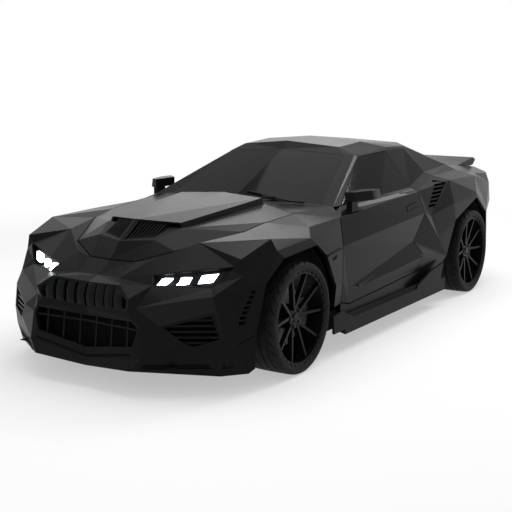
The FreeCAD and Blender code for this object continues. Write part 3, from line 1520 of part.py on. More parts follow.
def side_prism(wire):
    # An outline pushed out across the left half of the car
    return Part.Face(wire).extrude(Vector(half_width, 0, 0))


def vent_hole(name):
    return side_prism(side_outline(vent_shares[name]))


def shrunk(wire, inset):
    # An outline moved in by the inset along each of its edges
    return wire.makeOffset2D(-inset, 2)


def side_vent(name, panel):
    # A frame in the panel's opening, with level slats set back in it
    layer = slab(panel, 0, wall, False)
    outline_wire = side_outline(vent_shares[name])
    frame_ring = side_prism(outline_wire).cut(side_prism(shrunk(outline_wire, size("vent_frame"))))
    box = outline_wire.BoundBox
    pitch = size("vent_slat_pitch")
    height = size("vent_slat_height")
    heights = [box.ZMin + pitch * (step + 0.5) for step in range(int(box.ZLength / pitch))]
    slats = [Part.makeBox(half_width, box.YLength, height, Vector(0, box.YMin, z)) for z in heights]
    back = slab(panel, size("vent_recess"), wall, False)
    rows = side_prism(outline_wire).common(back).common(Part.makeCompound(slats))
    return side_only(frame_ring.common(layer)).fuse(side_only(rows).Solids)


def side_only(shape):
    # What lies beyond the cabin's inner face, without the far side of the shell
    keep_out = Part.makeBox(size("door_inner_plane"), 2 * half_length, 2 * roof_height,
                            Vector(0, -half_length, 0))
    return shape.cut(keep_out)


def lower_piece(shape):
    return min(shape.Solids, key=lambda solid: solid.BoundBox.ZMin)


def rests_below(post, lid_shape):
    # The part of a post that ends just below a closed lid
    cutter = lid_shape.copy()
    cutter.translate(Vector(0, 0, -size("soft_gap")))
    return lower_piece(post.cut(cutter))


hood_shape = panel_solid("hood", lid, gap=shut)
trunk_shape = panel_solid("trunk", lid, gap=shut)
bumper_shape = panel_solid("bumper nose", wall).cut([vent_hole("bumper"), right_of(vent_hole("bumper"))])
cowl_shape = panel_solid("cowl", wall)
roof_shape = panel_solid("roof", wall)


def hood_buffers():
    # Rubber stops on the radiator's tie bar, below the closed hood
    radius = size("buffer_radius")
    base = float(sheet.evalExpression(bound(radiator_top + " + tie_bar_height")))
    y = place["nose_mid"].y + size("nose_room") + size("tie_bar_depth") - radius
    posts = [Part.makeCylinder(radius, roof_height - base, Vector(side * size("buffer_spacing") / 2, y, base))
             for side in (-1, 1)]
    return Part.makeCompound([rests_below(post, hood_shape) for post in posts])


def rear_bumper_shape():
    # Tail panel with two shelves that the closed trunk lid rests on
    panel = panel_solid("tail", wall)
    depth = size("latch_shelf")
    shelf_y = place["deck_rear"].y - shut - depth
    foot = place["tail_lamp_top"].z
    shelves = []
    for side in (-1, 1):
        post = Part.makeBox(depth, depth + shut + wall / 2, place["deck_rear"].z - shut - foot,
                            Vector(side * size("latch_spacing") / 2 - depth / 2, shelf_y, foot))
        shelves.append(rests_below(post, trunk_shape))
    return panel.fuse(shelves)


def rear_diffuser():
    # Lower valance with a cut-out round each exhaust tip
    panel = panel_solid("diffuser", wall)
    x = size("exhaust_spacing") / 2
    radius = size("exhaust_tip_radius") + size("grille_frame") / 2
    z = size("exhaust_tip_height")
    hole = along(Vector(x, axle["rear"], z), Vector(x, half_length + wall, z), radius)
    return panel.cut([hole, right_of(hole)])


def louvre(x, thickness):
    # An upright strip from the scoop's lip down to the foot of its opening
    front = on_edge("scoop_low_mid", "scoop_low", x) + Vector(0, size("louvre_setback"), 0)
    lip = on_edge("lip_mid", "lip_side", x) + Vector(0, size("louvre_setback"), -size("scoop_wall") / 2)
    rear = lip + Vector(0, lid, 0)
    corners = [front, lip, rear, Vector(x, rear.y, front.z)]
    profile = Part.Face(Part.makePolygon(corners + [corners[0]]))
    profile.translate(Vector(-thickness / 2, 0, 0))
    return profile.extrude(Vector(thickness, 0, 0))


def hood_scoop():
    # The raised scoop, with louvres in its opening and a wide strip in the middle
    shell = panel_solid("scoop", size("scoop_wall"))
    pitch = size("louvre_pitch")
    room = place["scoop_low"].x - size("louvre_side_room") - size("louvre_divider_width") / 2
    count = int(room / pitch)
    strips = [louvre(0, size("louvre_divider_width"))]
    for side in (-1, 1):
        for number in range(count):
            x = side * (size("louvre_divider_width") / 2 + (number + 1) * pitch)
            strips.append(louvre(x, size("louvre_thickness")))
    return biggest(shell.fuse(strips).cut(hood_shape))


def splitter_shape():
    # Splitter blade with an upright fin at each end
    blade_solid = panel_solid("splitter", wall)
    start = place["splitter_out"]
    run = place["splitter_side"] - start
    corners = []
    for y_share, z_share in splitter_fin_shares:
        spot = corner(0, y_share, z_share)
        corners.append(Vector(start.x + run.x * (spot.y - start.y) / run.y, spot.y, spot.z))
    thickness = run.cross(Vector(0, 0, 1)).normalize() * -size("fin_thickness")
    fin = Part.Face(Part.makePolygon(corners + [corners[0]])).extrude(thickness)
    return blade_solid.fuse([fin, right_of(fin)]).cut(bumper_shape)


def headlamp_housing():
    # A tub in the lamp's opening, open to the front
    frame_width = size("lamp_frame")
    depth = size("lamp_depth")
    tub = slab("headlamp", 0, depth, False)
    return tub.cut(slab("headlamp", -wall, depth - frame_width, False, frame_width)).cut(bumper_shape)


def light_blocks(housing):
    # Slanted light blocks that stand on the floor of the left housing
    layer = slab("headlamp", size("lamp_block_recess"), size("lamp_depth"), False)
    blocks = []
    for shares in light_block_shares:
        corners = [corner(x_share, -1, z_share) for x_share, z_share in shares]
        face = Part.Face(Part.makePolygon(corners + [corners[0]]))
        post = face.extrude(Vector(0, half_length, 0)).common(layer)
        blocks.append(biggest(post.cut([housing, bumper_shape])))
    return Part.makeCompound(blocks)


node("front_bumper", bumper_shape)
node("front_grilles", front_grilles())
node("cowl_panel", cowl_shape)
node("roof_panel", roof_shape)
node("rear_bumper", rear_bumper_shape())
node("tail_lamps", panel_solid("tail_lamps", wall))
node("front_splitter", splitter_shape())
node("rear_diffuser", rear_diffuser())
node("hood", hood_shape)
node("hood_buffers", hood_buffers())
node("hood_scoop", hood_scoop())
node("trunk_lid", trunk_shape)

mirror_plan_shares = [(0.0, 0.0), (0.55, 0.10), (1.0, 0.62), (0.96, 1.0), (0.0, 0.72)]


mirror_top_share = 0.86
mirror_foot_share = 0.3


def mirror_shape():
    # Door mirror: a swept wedge head on a foot that stands on the belt
    belt = place["belt_front"]
    root = belt.x - size("mirror_seat")
    front = place["window_front"].y - size("mirror_lead")
    base = belt.z + size("mirror_rise")
    head = []
    for z, shrink in ((base, 1), (base + size("mirror_height"), mirror_top_share)):
        ring = [Vector(root + x_share * size("mirror_reach") * shrink, front + y_share * size("mirror_depth"), z)
                for x_share, y_share in mirror_plan_shares]
        head.append(Part.makePolygon(ring + [ring[0]]))
    shell = Part.makeLoft(head, True, True)
    foot_length = size("mirror_foot_length")
    foot = Part.makeBox(size("mirror_foot_width"), foot_length, size("mirror_rise") + size("mirror_foot_drop"),
                        Vector(root, front + foot_length * mirror_foot_share, belt.z - size("mirror_foot_drop")))
    return shell.fuse(foot)


def door_glass_shape():
    # The pane stands on the door's belt: its lower corners are the door's own
    tris = surface("door_glass", False)
    outer = drawn_in(tris, shut)
    belt = drawn_in(surface("door", False), shut)
    for name in ("window_front", "window_low_mid", "window_low_rear"):
        outer[name] = belt[name]
    inner = {name: point - Vector(glass, 0, 0) for name, point in outer.items()}
    return thick_shell(tris, outer, inner)


def door_slab(gap, taper=0):
    # The door from its skin in to its flat inner face, its rear edge tapered so that it swings clear
    tris = surface("door", False)
    outer = drawn_in(tris, gap)
    inner = {}
    for name, point in outer.items():
        back = taper if name in latch_seam else 0
        inner[name] = Vector(door_inner, point.y - back, point.z)
    return thick_shell(tris, outer, inner)


def door_shape():
    # Door slab with two hinge leaves that meet the hinge pillar
    seat = hinge_pillar.Shape.copy()
    seat.translate(Vector(0, size("soft_gap"), 0))
    width = size("hinge_leaf_width")
    height = size("hinge_leaf_height")
    front = place["crease_door_front"].y
    rear = front + size("hinge_leaf_width") * 2
    leaves = []
    for level in ("lower_hinge_height", "upper_hinge_height"):
        leaf = Part.makeBox(width, rear - front, height, Vector(door_inner, front, size(level)))
        leaves.append(leaf.cut(seat))
    return door_slab(shut, size("door_rear_taper")).fuse(leaves)


spoiler_profile_shares = [(0.80, 0.768), (0.975, 0.800), (0.990, 0.790), (0.970, 0.7445)]


def spoiler_shape():
    # Ducktail: a wedge along the deck's rear edge
    corners = [corner(0, y_share, z_share) for y_share, z_share in spoiler_profile_shares]
    profile = Part.Face(Part.makePolygon(corners + [corners[0]]))
    span = 2 * (place["deck_rear"].x - size("spoiler_side_room"))
    profile.translate(Vector(-span / 2, 0, 0))
    tools = [trunk_shape]
    for step in (Vector(0, 0, shut), Vector(0, -shut, 0), Vector(0, 0, 0)):
        tool = panel_solid("tail", wall)
        tool.translate(step)
        tools.append(tool)
    return profile.extrude(Vector(span, 0, 0)).cut(tools)


side_frame = panel_solid("side", wall, both_halves=False).cut([door_slab(0), vent_hole("quarter")])
fender = panel_solid("fender", wall, both_halves=False).cut([door_slab(0), bumper_shape, vent_hole("fender")])
door = door_shape()
mirror = mirror_shape().cut(door)
frames = [side_frame, right_of(side_frame)]


def skirt_shape():
    # Side skirt: a blade below the door, bolted along the rocker's face
    face = half_width * shell_shares["rocker_front"][0]
    out = face + size("skirt_reach")
    top = size("skirt_top")
    low = size("skirt_low")
    front = axle["front"] + size("skirt_front_setback")
    root = face - wall
    corners = [Vector(root, front, top), Vector(out, front, top - size("skirt_reach") / 3),
               Vector(out, front, low), Vector(root, front, low + size("skirt_reach") / 3)]
    board = Part.Face(Part.makePolygon(corners + [corners[0]])).extrude(Vector(0, size("skirt_length"), 0))
    fins = []
    for shares in skirt_fin_shares.values():
        fin = Part.Face(side_outline(shares)).extrude(Vector(size("fin_thickness"), 0, 0))
        fin.translate(Vector(out - size("fin_thickness"), 0, 0))
        fins.append(fin)
    return board.fuse(fins).cut(side_frame)


def both(shape):
    # A left piece and its mirror image as one node
    return Part.makeCompound([shape, right_of(shape)])


node("side_skirts", both(skirt_shape()))
node("rear_spoiler", spoiler_shape())
housing = biggest(headlamp_housing().cut(fender))
node("headlamps", both(housing))
node("headlamp_lights", both(light_blocks(housing)))
node("side_vents", both(Part.makeCompound([side_vent("bumper", "bumper"), side_vent("quarter", "side"),
                                           side_vent("fender", "fender")])))
node("windshield", panel_solid("windshield", glass).cut(frames + [cowl_shape, roof_shape]))
node("rear_window", panel_solid("rear_glass", glass).cut(frames + [roof_shape]))
node("quarter_glass", both(panel_solid("quarter_glass", glass, both_halves=False).cut(side_frame)))
node("arch_liners", liners.Shape.cut(frames + [fender, right_of(fender)]))

for side, turned in (("left", lambda shape: shape), ("right", right_of)):
    node("fender_" + side, turned(fender))
    node("side_frame_" + side, turned(side_frame))
    node("door_" + side, turned(door))
    node("door_glass_" + side, turned(door_glass_shape()))
    node("mirror_" + side, turned(mirror))

doc.recompute()
failed = [feature.Name for feature in doc.Objects
          if "Invalid" in feature.State or "Error" in feature.State]
if failed:
    raise RuntimeError("objects that failed: " + ", ".join(failed))
for feature in parts:
    if feature.Shape.isNull() or not feature.Shape.isValid() or not feature.Shape.Solids:
        raise RuntimeError("bad shape: " + feature.Label)

os.makedirs("parts", exist_ok=True)
for feature in parts:
    feature.Shape.exportStep("parts/%s.step" % feature.Label)
print(len(parts), "nodes written")
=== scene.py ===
import json
import math

import bmesh
import bpy
from mathutils import Matrix, Vector
from mathutils.bvhtree import BVHTree


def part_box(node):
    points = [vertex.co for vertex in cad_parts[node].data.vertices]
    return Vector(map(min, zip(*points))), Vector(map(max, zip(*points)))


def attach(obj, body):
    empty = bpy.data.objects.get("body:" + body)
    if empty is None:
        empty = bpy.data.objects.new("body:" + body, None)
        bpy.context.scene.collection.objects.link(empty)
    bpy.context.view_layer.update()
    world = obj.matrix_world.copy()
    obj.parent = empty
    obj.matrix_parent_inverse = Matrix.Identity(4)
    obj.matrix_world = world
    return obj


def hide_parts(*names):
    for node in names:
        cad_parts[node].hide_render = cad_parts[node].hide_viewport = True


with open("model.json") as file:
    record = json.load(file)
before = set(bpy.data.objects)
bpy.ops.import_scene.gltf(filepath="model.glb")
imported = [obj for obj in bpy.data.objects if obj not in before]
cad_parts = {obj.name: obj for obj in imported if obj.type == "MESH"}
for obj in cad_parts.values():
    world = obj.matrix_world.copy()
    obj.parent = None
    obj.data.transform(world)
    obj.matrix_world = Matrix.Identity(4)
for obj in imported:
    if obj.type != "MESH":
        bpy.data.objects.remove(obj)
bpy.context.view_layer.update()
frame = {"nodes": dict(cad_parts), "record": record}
nodes = frame["nodes"]
scene = bpy.context.scene

# Colours, as linear values
PAINT_BLACK = (0.0048, 0.0050, 0.0057, 1)
TRIM_BLACK = (0.0042, 0.0042, 0.0047, 1)
RUBBER_BLACK = (0.0125, 0.0125, 0.0130, 1)
GLASS_TINT = (0.0035, 0.0038, 0.0045, 1)
IRON_GREY = (0.045, 0.045, 0.047, 1)
STEEL_GREY = (0.30, 0.30, 0.31, 1)
LEATHER_BLACK = (0.018, 0.018, 0.019, 1)
LAMP_RED = (0.105, 0.003, 0.004, 1)
LED_WHITE = (0.90, 0.96, 1.0, 1)
SCREEN_BLACK = (0.004, 0.0045, 0.006, 1)
MIRROR_SILVER = (0.80, 0.81, 0.82, 1)
FLOOR_WHITE = (0.86, 0.86, 0.86, 1)
BACKGROUND_WHITE = (1, 1, 1, 1)

# Settings that the materials share
RAMP_LOW = 0.35
RAMP_HIGH = 0.65
CLOUD_DETAIL = 4.0
FINE_DETAIL = 3.0
SOFT_DETAIL = 2.0
PLAIN_GRAIN = 0.3
PLAIN_SHINE = 0.07
PAINT_SHINE = 0.05
PAINT_TINTS = (0.8, 1.3)
PAINT_ROUGH = (0.22, 0.28)
PAINT_CLOUD_SCALE = 2.2
PAINT_FLAKE_SCALE = 900.0
PAINT_GRAIN_SCALE = 420.0
GLASS_ALPHA = 0.93
GLASS_SHINE = 0.03
STREAK_SCALE = (220.0, 6.0, 220.0)
DISC_MARK_SCALE = 60.0
LAMP_SHINE = 0.2
LED_STRENGTH = (5.5, 6.5)
LED_CLOUD_SCALE = 40.0
LED_GRAIN_SCALE = 300.0


def fresh_material(name):
    material = bpy.data.materials.new(name)
    material.use_nodes = True
    tree = material.node_tree
    return material, tree, tree.nodes["Principled BSDF"]


def object_coordinates(tree):
    return tree.nodes.new("ShaderNodeTexCoord").outputs["Object"]


def noise(tree, scale, detail):
    node = tree.nodes.new("ShaderNodeTexNoise")
    node.inputs["Scale"].default_value = scale
    node.inputs["Detail"].default_value = detail
    tree.links.new(object_coordinates(tree), node.inputs["Vector"])
    return node.outputs["Fac"]


def ramp(tree, source, low_colour, high_colour):
    node = tree.nodes.new("ShaderNodeValToRGB")
    node.color_ramp.elements[0].position = RAMP_LOW
    node.color_ramp.elements[1].position = RAMP_HIGH
    node.color_ramp.elements[0].color = low_colour
    node.color_ramp.elements[1].color = high_colour
    tree.links.new(source, node.inputs["Fac"])
    return node.outputs["Color"]


def spread(tree, source, low, high):
    node = tree.nodes.new("ShaderNodeMapRange")
    node.inputs["To Min"].default_value = low
    node.inputs["To Max"].default_value = high
    tree.links.new(source, node.inputs["Value"])
    return node.outputs["Result"]


def bump(tree, shader, source, strength, distance):
    node = tree.nodes.new("ShaderNodeBump")
    node.inputs["Strength"].default_value = strength
    node.inputs["Distance"].default_value = distance
    tree.links.new(source, node.inputs["Height"])
    tree.links.new(node.outputs["Normal"], shader.inputs["Normal"])


def shade(colour, factor):
    return (colour[0] * factor, colour[1] * factor, colour[2] * factor, 1)


def colour_and_gloss(tree, shader, source, colour, tints, rough):
    # Lets colour and roughness vary with the source, each between two values
    tint = ramp(tree, source, shade(colour, tints[0]), shade(colour, tints[1]))
    tree.links.new(tint, shader.inputs["Base Color"])
    tree.links.new(spread(tree, source, rough[0], rough[1]), shader.inputs["Roughness"])
    return tint


def speckled(name, colour, contrast, cloud, rough, grain_scale, grain_depth, grain=PLAIN_GRAIN, metallic=0.0,
             shine=PLAIN_SHINE):
    # A surface whose colour, roughness and grain all vary a little
    material, tree, shader = fresh_material(name)
    source = noise(tree, cloud, CLOUD_DETAIL)
    colour_and_gloss(tree, shader, source, colour, (1 - contrast, 1 + contrast), rough)
    shader.inputs["Metallic"].default_value = metallic
    shader.inputs["Specular IOR Level"].default_value = shine
    bump(tree, shader, noise(tree, grain_scale, FINE_DETAIL), grain, grain_depth)
    return material


def smooth_surface(name, colour, cloud, tints, rough, shine=None, alpha=1.0, metallic=0.0):
    # A surface without grain: glass, a lamp's lens or a mirror
    material, tree, shader = fresh_material(name)
    colour_and_gloss(tree, shader, noise(tree, cloud, SOFT_DETAIL), colour, tints, rough)
    shader.inputs["Metallic"].default_value = metallic
    shader.inputs["Alpha"].default_value = alpha
    if shine is not None:
        shader.inputs["Specular IOR Level"].default_value = shine
    return material


def body_paint():
    # Satin black paint with a fine flake and a barely uneven gloss
    material, tree, shader = fresh_material("body_paint_satin")
    cloud = noise(tree, PAINT_CLOUD_SCALE, FINE_DETAIL)
    flake = noise(tree, PAINT_FLAKE_SCALE, 1.0)
    tint = ramp(tree, flake, shade(PAINT_BLACK, PAINT_TINTS[0]), shade(PAINT_BLACK, PAINT_TINTS[1]))
    tree.links.new(tint, shader.inputs["Base Color"])
    tree.links.new(spread(tree, cloud, PAINT_ROUGH[0], PAINT_ROUGH[1]), shader.inputs["Roughness"])
    shader.inputs["Specular IOR Level"].default_value = PAINT_SHINE
    bump(tree, shader, noise(tree, PAINT_GRAIN_SCALE, SOFT_DETAIL), strength=0.08, distance=0.0004)
    return material


def brushed_steel():
    # Stainless steel with fine streaks along the pipe
    material, tree, shader = fresh_material("exhaust_brushed_steel")
    mapping = tree.nodes.new("ShaderNodeMapping")
    mapping.inputs["Scale"].default_value = STREAK_SCALE
    tree.links.new(object_coordinates(tree), mapping.inputs["Vector"])
    streaks = tree.nodes.new("ShaderNodeTexNoise")
    streaks.inputs["Scale"].default_value = 1.0
    streaks.inputs["Detail"].default_value = FINE_DETAIL
    tree.links.new(mapping.outputs["Vector"], streaks.inputs["Vector"])
    source = streaks.outputs["Fac"]
    colour_and_gloss(tree, shader, source, STEEL_GREY, tints=(0.7, 1.2), rough=(0.25, 0.45))
    shader.inputs["Metallic"].default_value = 1.0
    bump(tree, shader, source, strength=0.15, distance=0.0003)
    return material


def disc_steel():
    # Dark steel with fine uneven marks
    material, tree, shader = fresh_material("brake_disc_steel")
    marks = noise(tree, DISC_MARK_SCALE, FINE_DETAIL)
    colour_and_gloss(tree, shader, marks, STEEL_GREY, tints=(0.25, 0.45), rough=(0.35, 0.5))
    shader.inputs["Metallic"].default_value = 1.0
    bump(tree, shader, marks, strength=0.1, distance=0.0003)
    return material


def led_light():
    # Bluish white light whose colour and strength vary a little
    material, tree, shader = fresh_material("headlamp_led_white")
    cloud = noise(tree, LED_CLOUD_SCALE, SOFT_DETAIL)
    tint = colour_and_gloss(tree, shader, cloud, LED_WHITE, tints=(0.92, 1.0), rough=(0.2, 0.3))
    tree.links.new(tint, shader.inputs["Emission Color"])
    tree.links.new(spread(tree, cloud, LED_STRENGTH[0], LED_STRENGTH[1]), shader.inputs["Emission Strength"])
    bump(tree, shader, noise(tree, LED_GRAIN_SCALE, SOFT_DETAIL), strength=0.05, distance=0.0002)
    return material


MATERIALS = {
    "body_paint": body_paint(),
    "tinted_glass": smooth_surface("tinted_glass_pane", GLASS_TINT, cloud=1.5, tints=(0.9, 1.1),
                                   rough=(0.04, 0.07), shine=GLASS_SHINE, alpha=GLASS_ALPHA),
    "tyre": speckled("tyre_rubber", RUBBER_BLACK, contrast=0.25, cloud=14.0, rough=(0.50, 0.66),
                     grain_scale=260.0, grain_depth=0.0006),
    "rim_black": speckled("rim_satin_black", PAINT_BLACK, contrast=0.15, cloud=9.0, rough=(0.28, 0.36),
                          grain_scale=500.0, grain_depth=0.0002, grain=0.1, shine=0.09),
    "cast_metal": speckled("cast_iron_grey", IRON_GREY, contrast=0.35, cloud=18.0, rough=(0.50, 0.75),
                           grain_scale=150.0, grain_depth=0.0015, grain=0.4, metallic=0.7),
    "underbody": speckled("underbody_coating", TRIM_BLACK, contrast=0.3, cloud=7.0, rough=(0.65, 0.85),
                          grain_scale=90.0, grain_depth=0.0015, grain=0.4),
    "trim_black": speckled("trim_textured_plastic", TRIM_BLACK, contrast=0.2, cloud=8.0, rough=(0.42, 0.52),
                           grain_scale=700.0, grain_depth=0.0004),
    "radiator_metal": speckled("radiator_core", IRON_GREY, contrast=0.3, cloud=60.0, rough=(0.35, 0.5),
                               grain_scale=300.0, grain_depth=0.001, grain=0.4, metallic=0.9),
    "exhaust_steel": brushed_steel(),
    "seat_leather": speckled("seat_leather_black", LEATHER_BLACK, contrast=0.25, cloud=10.0,
                             rough=(0.42, 0.55), grain_scale=240.0, grain_depth=0.0012, grain=0.45),
    "dash_plastic": speckled("dash_soft_plastic", TRIM_BLACK, contrast=0.2, cloud=12.0, rough=(0.55, 0.68),
                             grain_scale=480.0, grain_depth=0.0006),
    "grille_black": speckled("grille_satin_plastic", TRIM_BLACK, contrast=0.15, cloud=9.0, rough=(0.30, 0.38),
                             grain_scale=600.0, grain_depth=0.0003, grain=0.15, shine=0.06),
    "lamp_red": smooth_surface("tail_lamp_lens", LAMP_RED, cloud=6.0, tints=(0.9, 1.1), rough=(0.06, 0.14),
                               shine=LAMP_SHINE),
    "lamp_clear": led_light(),
    "buffer_rubber": speckled("buffer_rubber_black", RUBBER_BLACK, contrast=0.2, cloud=30.0,
                              rough=(0.6, 0.75), grain_scale=300.0, grain_depth=0.0005),
}
DISC_STEEL = disc_steel()
SATIN_TRIM = speckled("belt_trim_satin_metal", shade(IRON_GREY, 1.6), contrast=0.1, cloud=6.0,
                      rough=(0.26, 0.32), grain_scale=500.0, grain_depth=0.0002, grain=0.08, metallic=1.0)
MIRROR_GLASS = smooth_surface("mirror_glass_silver", MIRROR_SILVER, cloud=3.0, tints=(0.98, 1.0),
                              rough=(0.02, 0.04), metallic=1.0)
SCREEN_GLASS = speckled("dash_screen_glass", SCREEN_BLACK, contrast=0.1, cloud=5.0, rough=(0.08, 0.12),
                        grain_scale=300.0, grain_depth=0.0001, grain=0.05)
# Darker than black, for plates and strips that are painted shade: the dark inside of openings, recesses and a
# pipe's hollow
PAINTED_SHADE_DARK = speckled("painted_shade_dark", shade(TRIM_BLACK, 0.4), contrast=0.3, cloud=20.0, rough=(0.7, 0.8),
                     grain_scale=160.0, grain_depth=0.001, grain=0.4, shine=0.05)

# Bevels that catch the light along each panel's folds
PANEL_BEVEL = 0.0045
SMALL_BEVEL = 0.002
BEVEL_SEGMENTS = 2
FOLD_ANGLE = math.radians(9)
PIECE_ANGLE = math.radians(25)
ROUND_ANGLE = math.radians(32)
FLAT_ANGLE = math.radians(1)
WELD_GAP = 0.00005
ROUND_NODES = ("tyre_", "rim_", "knuckle_", "steering_wheel", "exhaust", "driveline", "front_suspension",
               "rear_suspension", "arch_liners", "hood_buffers")


def bevelled(obj, width, angle=PIECE_ANGLE):
    bevel = obj.modifiers.new("soft_edges", "BEVEL")
    bevel.width = width
    bevel.segments = BEVEL_SEGMENTS
    bevel.limit_method = "ANGLE"
    bevel.angle_limit = angle
    bevel.use_clamp_overlap = True
    return obj


def welded(obj):
    weld = obj.modifiers.new("weld", "WELD")
    weld.merge_threshold = WELD_GAP


def smooth(obj):
    for polygon in obj.data.polygons:
        polygon.use_smooth = True


def sharp_where_steep(obj):
    split = obj.modifiers.new("sharp_edges", "EDGE_SPLIT")
    split.split_angle = ROUND_ANGLE


def soften_folds(obj, width):
    welded(obj)
    flat = obj.modifiers.new("join_flat_faces", "DECIMATE")
    flat.decimate_type = "DISSOLVE"
    flat.angle_limit = FLAT_ANGLE
    bevelled(obj, width, FOLD_ANGLE)


def dress_nodes():
    slots = {entry["node"]: entry["material_slot"] for entry in frame["record"]["subparts"]}
    for name, obj in nodes.items():
        obj.data.materials.clear()
        obj.data.materials.append(MATERIALS[slots[name]])
        for polygon in obj.data.polygons:
            polygon.material_index = 0
        if name.startswith(ROUND_NODES):
            smooth(obj)
            welded(obj)
            sharp_where_steep(obj)
        else:
            soften_folds(obj, PANEL_BEVEL if slots[name] == "body_paint" else SMALL_BEVEL)


dress_nodes()

# Each side with the factor that turns a place on the left into its own. The car faces -Y, its left is +X
SIDES = (("left", 1), ("right", -1))

# Directions, and places outside the car from which lines are sent to meet its surfaces
FORWARD = (0, -1, 0)
BACKWARD = (0, 1, 0)
DOWNWARD = (0, 0, -1)
FRONT_AWAY = -3.0
REAR_AWAY = 4.0
SIDE_AWAY = 1.4
TOP_AWAY = 2.0
ROD_CORNERS = 16


def add_piece(name, points, faces, slot, body, material=None):
    mesh = bpy.data.meshes.new(name)
    mesh.from_pydata([tuple(point) for point in points], [], faces)
    mesh.validate()
    obj = bpy.data.objects.new(name, mesh)
    scene.collection.objects.link(obj)
    mesh.materials.append(material or MATERIALS[slot])
    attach(obj, body)
    return obj


def outward(obj):
    # Turns every face of a closed piece to look outward
    work = bmesh.new()
    work.from_mesh(obj.data)
    bmesh.ops.recalc_face_normals(work, faces=work.faces)
    work.to_mesh(obj.data)
    work.free()
    return obj


def prism(name, outline, push, slot, body="root", bevel=SMALL_BEVEL, material=None):
    # A closed solid: the outline's points, and the same points moved by push
    count = len(outline)
    near = [Vector(point) for point in outline]
    far = [point + Vector(push) for point in near]
    faces = [tuple(range(count)), tuple(range(2 * count - 1, count - 1, -1))]
    for index in range(count):
        after = (index + 1) % count
        faces.append((index, index + count, after + count, after))
    obj = outward(add_piece(name, near + far, faces, slot, body, material))
    return bevelled(obj, bevel) if bevel else obj


def block(name, low, high, slot, body="root", bevel=SMALL_BEVEL, material=None):
    outline = [(low[0], low[1], low[2]), (high[0], low[1], low[2]), (high[0], high[1], low[2]),
               (low[0], high[1], low[2])]
    return prism(name, outline, (0, 0, high[2] - low[2]), slot, body, bevel, material)


def side_block(name, turn, near, far, slot, body="root", bevel=SMALL_BEVEL, material=None):
    # A block given for the left side, turned to its own side
    low_x, high_x = sorted((turn * near[0], turn * far[0]))
    return block(name, (low_x, *near[1:]), (high_x, *far[1:]), slot, body, bevel, material)


def side_form(name, outline, x_from, x_to, slot, bevel=SMALL_BEVEL):
    # A closed solid of one side outline, given as (y, z) points, from x_from to x_to
    return prism(name, [(x_from, y, z) for y, z in outline], (x_to - x_from, 0, 0), slot, bevel=bevel)


def rod(name, start, end, radius, slot, body="root", corners=ROD_CORNERS, material=None, end_radius=None):
    # A round bar from start to end
    start, end = Vector(start), Vector(end)
    turn = (end - start).normalized().to_track_quat("Z", "Y")
    last = radius if end_radius is None else end_radius
    points = []
    for place, size in ((start, radius), (end, last)):
        for step in range(corners):
            angle = 2 * math.pi * step / corners
            points.append(place + turn @ Vector((size * math.cos(angle), size * math.sin(angle), 0)))
    faces = [tuple(range(corners)), tuple(range(2 * corners - 1, corners - 1, -1))]
    for step in range(corners):
        after = (step + 1) % corners
        faces.append((step, after, after + corners, step + corners))
    obj = outward(add_piece(name, points, faces, slot, body, material))
    for polygon in obj.data.polygons:
        polygon.use_smooth = len(polygon.vertices) == 4
    return obj


SKINS = {}


def skin(node):
    # The node's surface, for finding where a line meets it
    if node not in SKINS:
        mesh = nodes[node].data
        SKINS[node] = BVHTree.FromPolygons([vertex.co.copy() for vertex in mesh.vertices],
                                           [tuple(polygon.vertices) for polygon in mesh.polygons])
    return SKINS[node]


def nearest_hit(node_names, place, direction):
    hits = []
    for node in node_names:
        hit, _, _, distance = skin(node).ray_cast(Vector(place), Vector(direction).normalized())
        if hit is not None:
            hits.append((distance, hit))
    if not hits:
        raise ValueError(f"no surface of {node_names} lies along that line")
    return min(hits, key=lambda found: found[0])[1]


# Tyres: a profile turned round the wheel, with grooves round the tread and slanted cuts at its shoulders
TYRE_BLOCKS = 32
BLOCK_COLUMN_SHARES = (0.0, 0.03, 0.15, 0.18, 0.34, 0.50, 0.66, 0.83)
CUT_COLUMNS = (1, 2)
CUT_DEPTH = 0.008
CUT_START_SHARE = 0.62
CUT_END_SHARE = 0.955
CUT_SLANT_SHARE = 0.9
BEAD_RADIUS = 0.298
# Half of the tyre's section: shares of the half width, and of the height from bead to tread
TYRE_HALF_SHARES = ((0.884, 0.0), (0.915, 0.03), (0.935, 0.10), (0.952, 0.11), (0.956, 0.17), (0.948, 0.18),
                    (0.972, 0.34), (0.996, 0.48), (0.996, 0.52), (0.985, 0.54), (0.982, 0.62), (0.972, 0.72),
                    (0.955, 0.81), (0.925, 0.885), (0.885, 0.935), (0.83, 0.962), (0.75, 0.976),
                    (0.66, 0.985), (0.60, 0.988), (0.59, 0.90), (0.54, 0.90), (0.53, 0.991), (0.38, 0.995),
                    (0.25, 0.998), (0.24, 0.90), (0.19, 0.90), (0.18, 0.999), (0.0, 1.0))


def tyre_points(low, high, section):
    centre = (low + high) / 2
    half_width = (high.x - low.x) / 2
    radius = (high.z - low.z) / 2
    block_angle = 2 * math.pi / TYRE_BLOCKS
    points = []
    for step in range(TYRE_BLOCKS * len(BLOCK_COLUMN_SHARES)):
        block_index, column = divmod(step, len(BLOCK_COLUMN_SHARES))
        base = (block_index + BLOCK_COLUMN_SHARES[column]) * block_angle
        for x_share, r_share in section:
            across = abs(x_share)
            size = BEAD_RADIUS + (radius - BEAD_RADIUS) * r_share
            lean = max(0.0, across - CUT_START_SHARE) / (1 - CUT_START_SHARE)
            angle = base + CUT_SLANT_SHARE * block_angle * lean * lean
            if column in CUT_COLUMNS and CUT_START_SHARE < across < CUT_END_SHARE:
                size -= CUT_DEPTH
            points.append((centre.x + half_width * x_share, centre.y + size * math.cos(angle),
                           centre.z + size * math.sin(angle)))
    return points


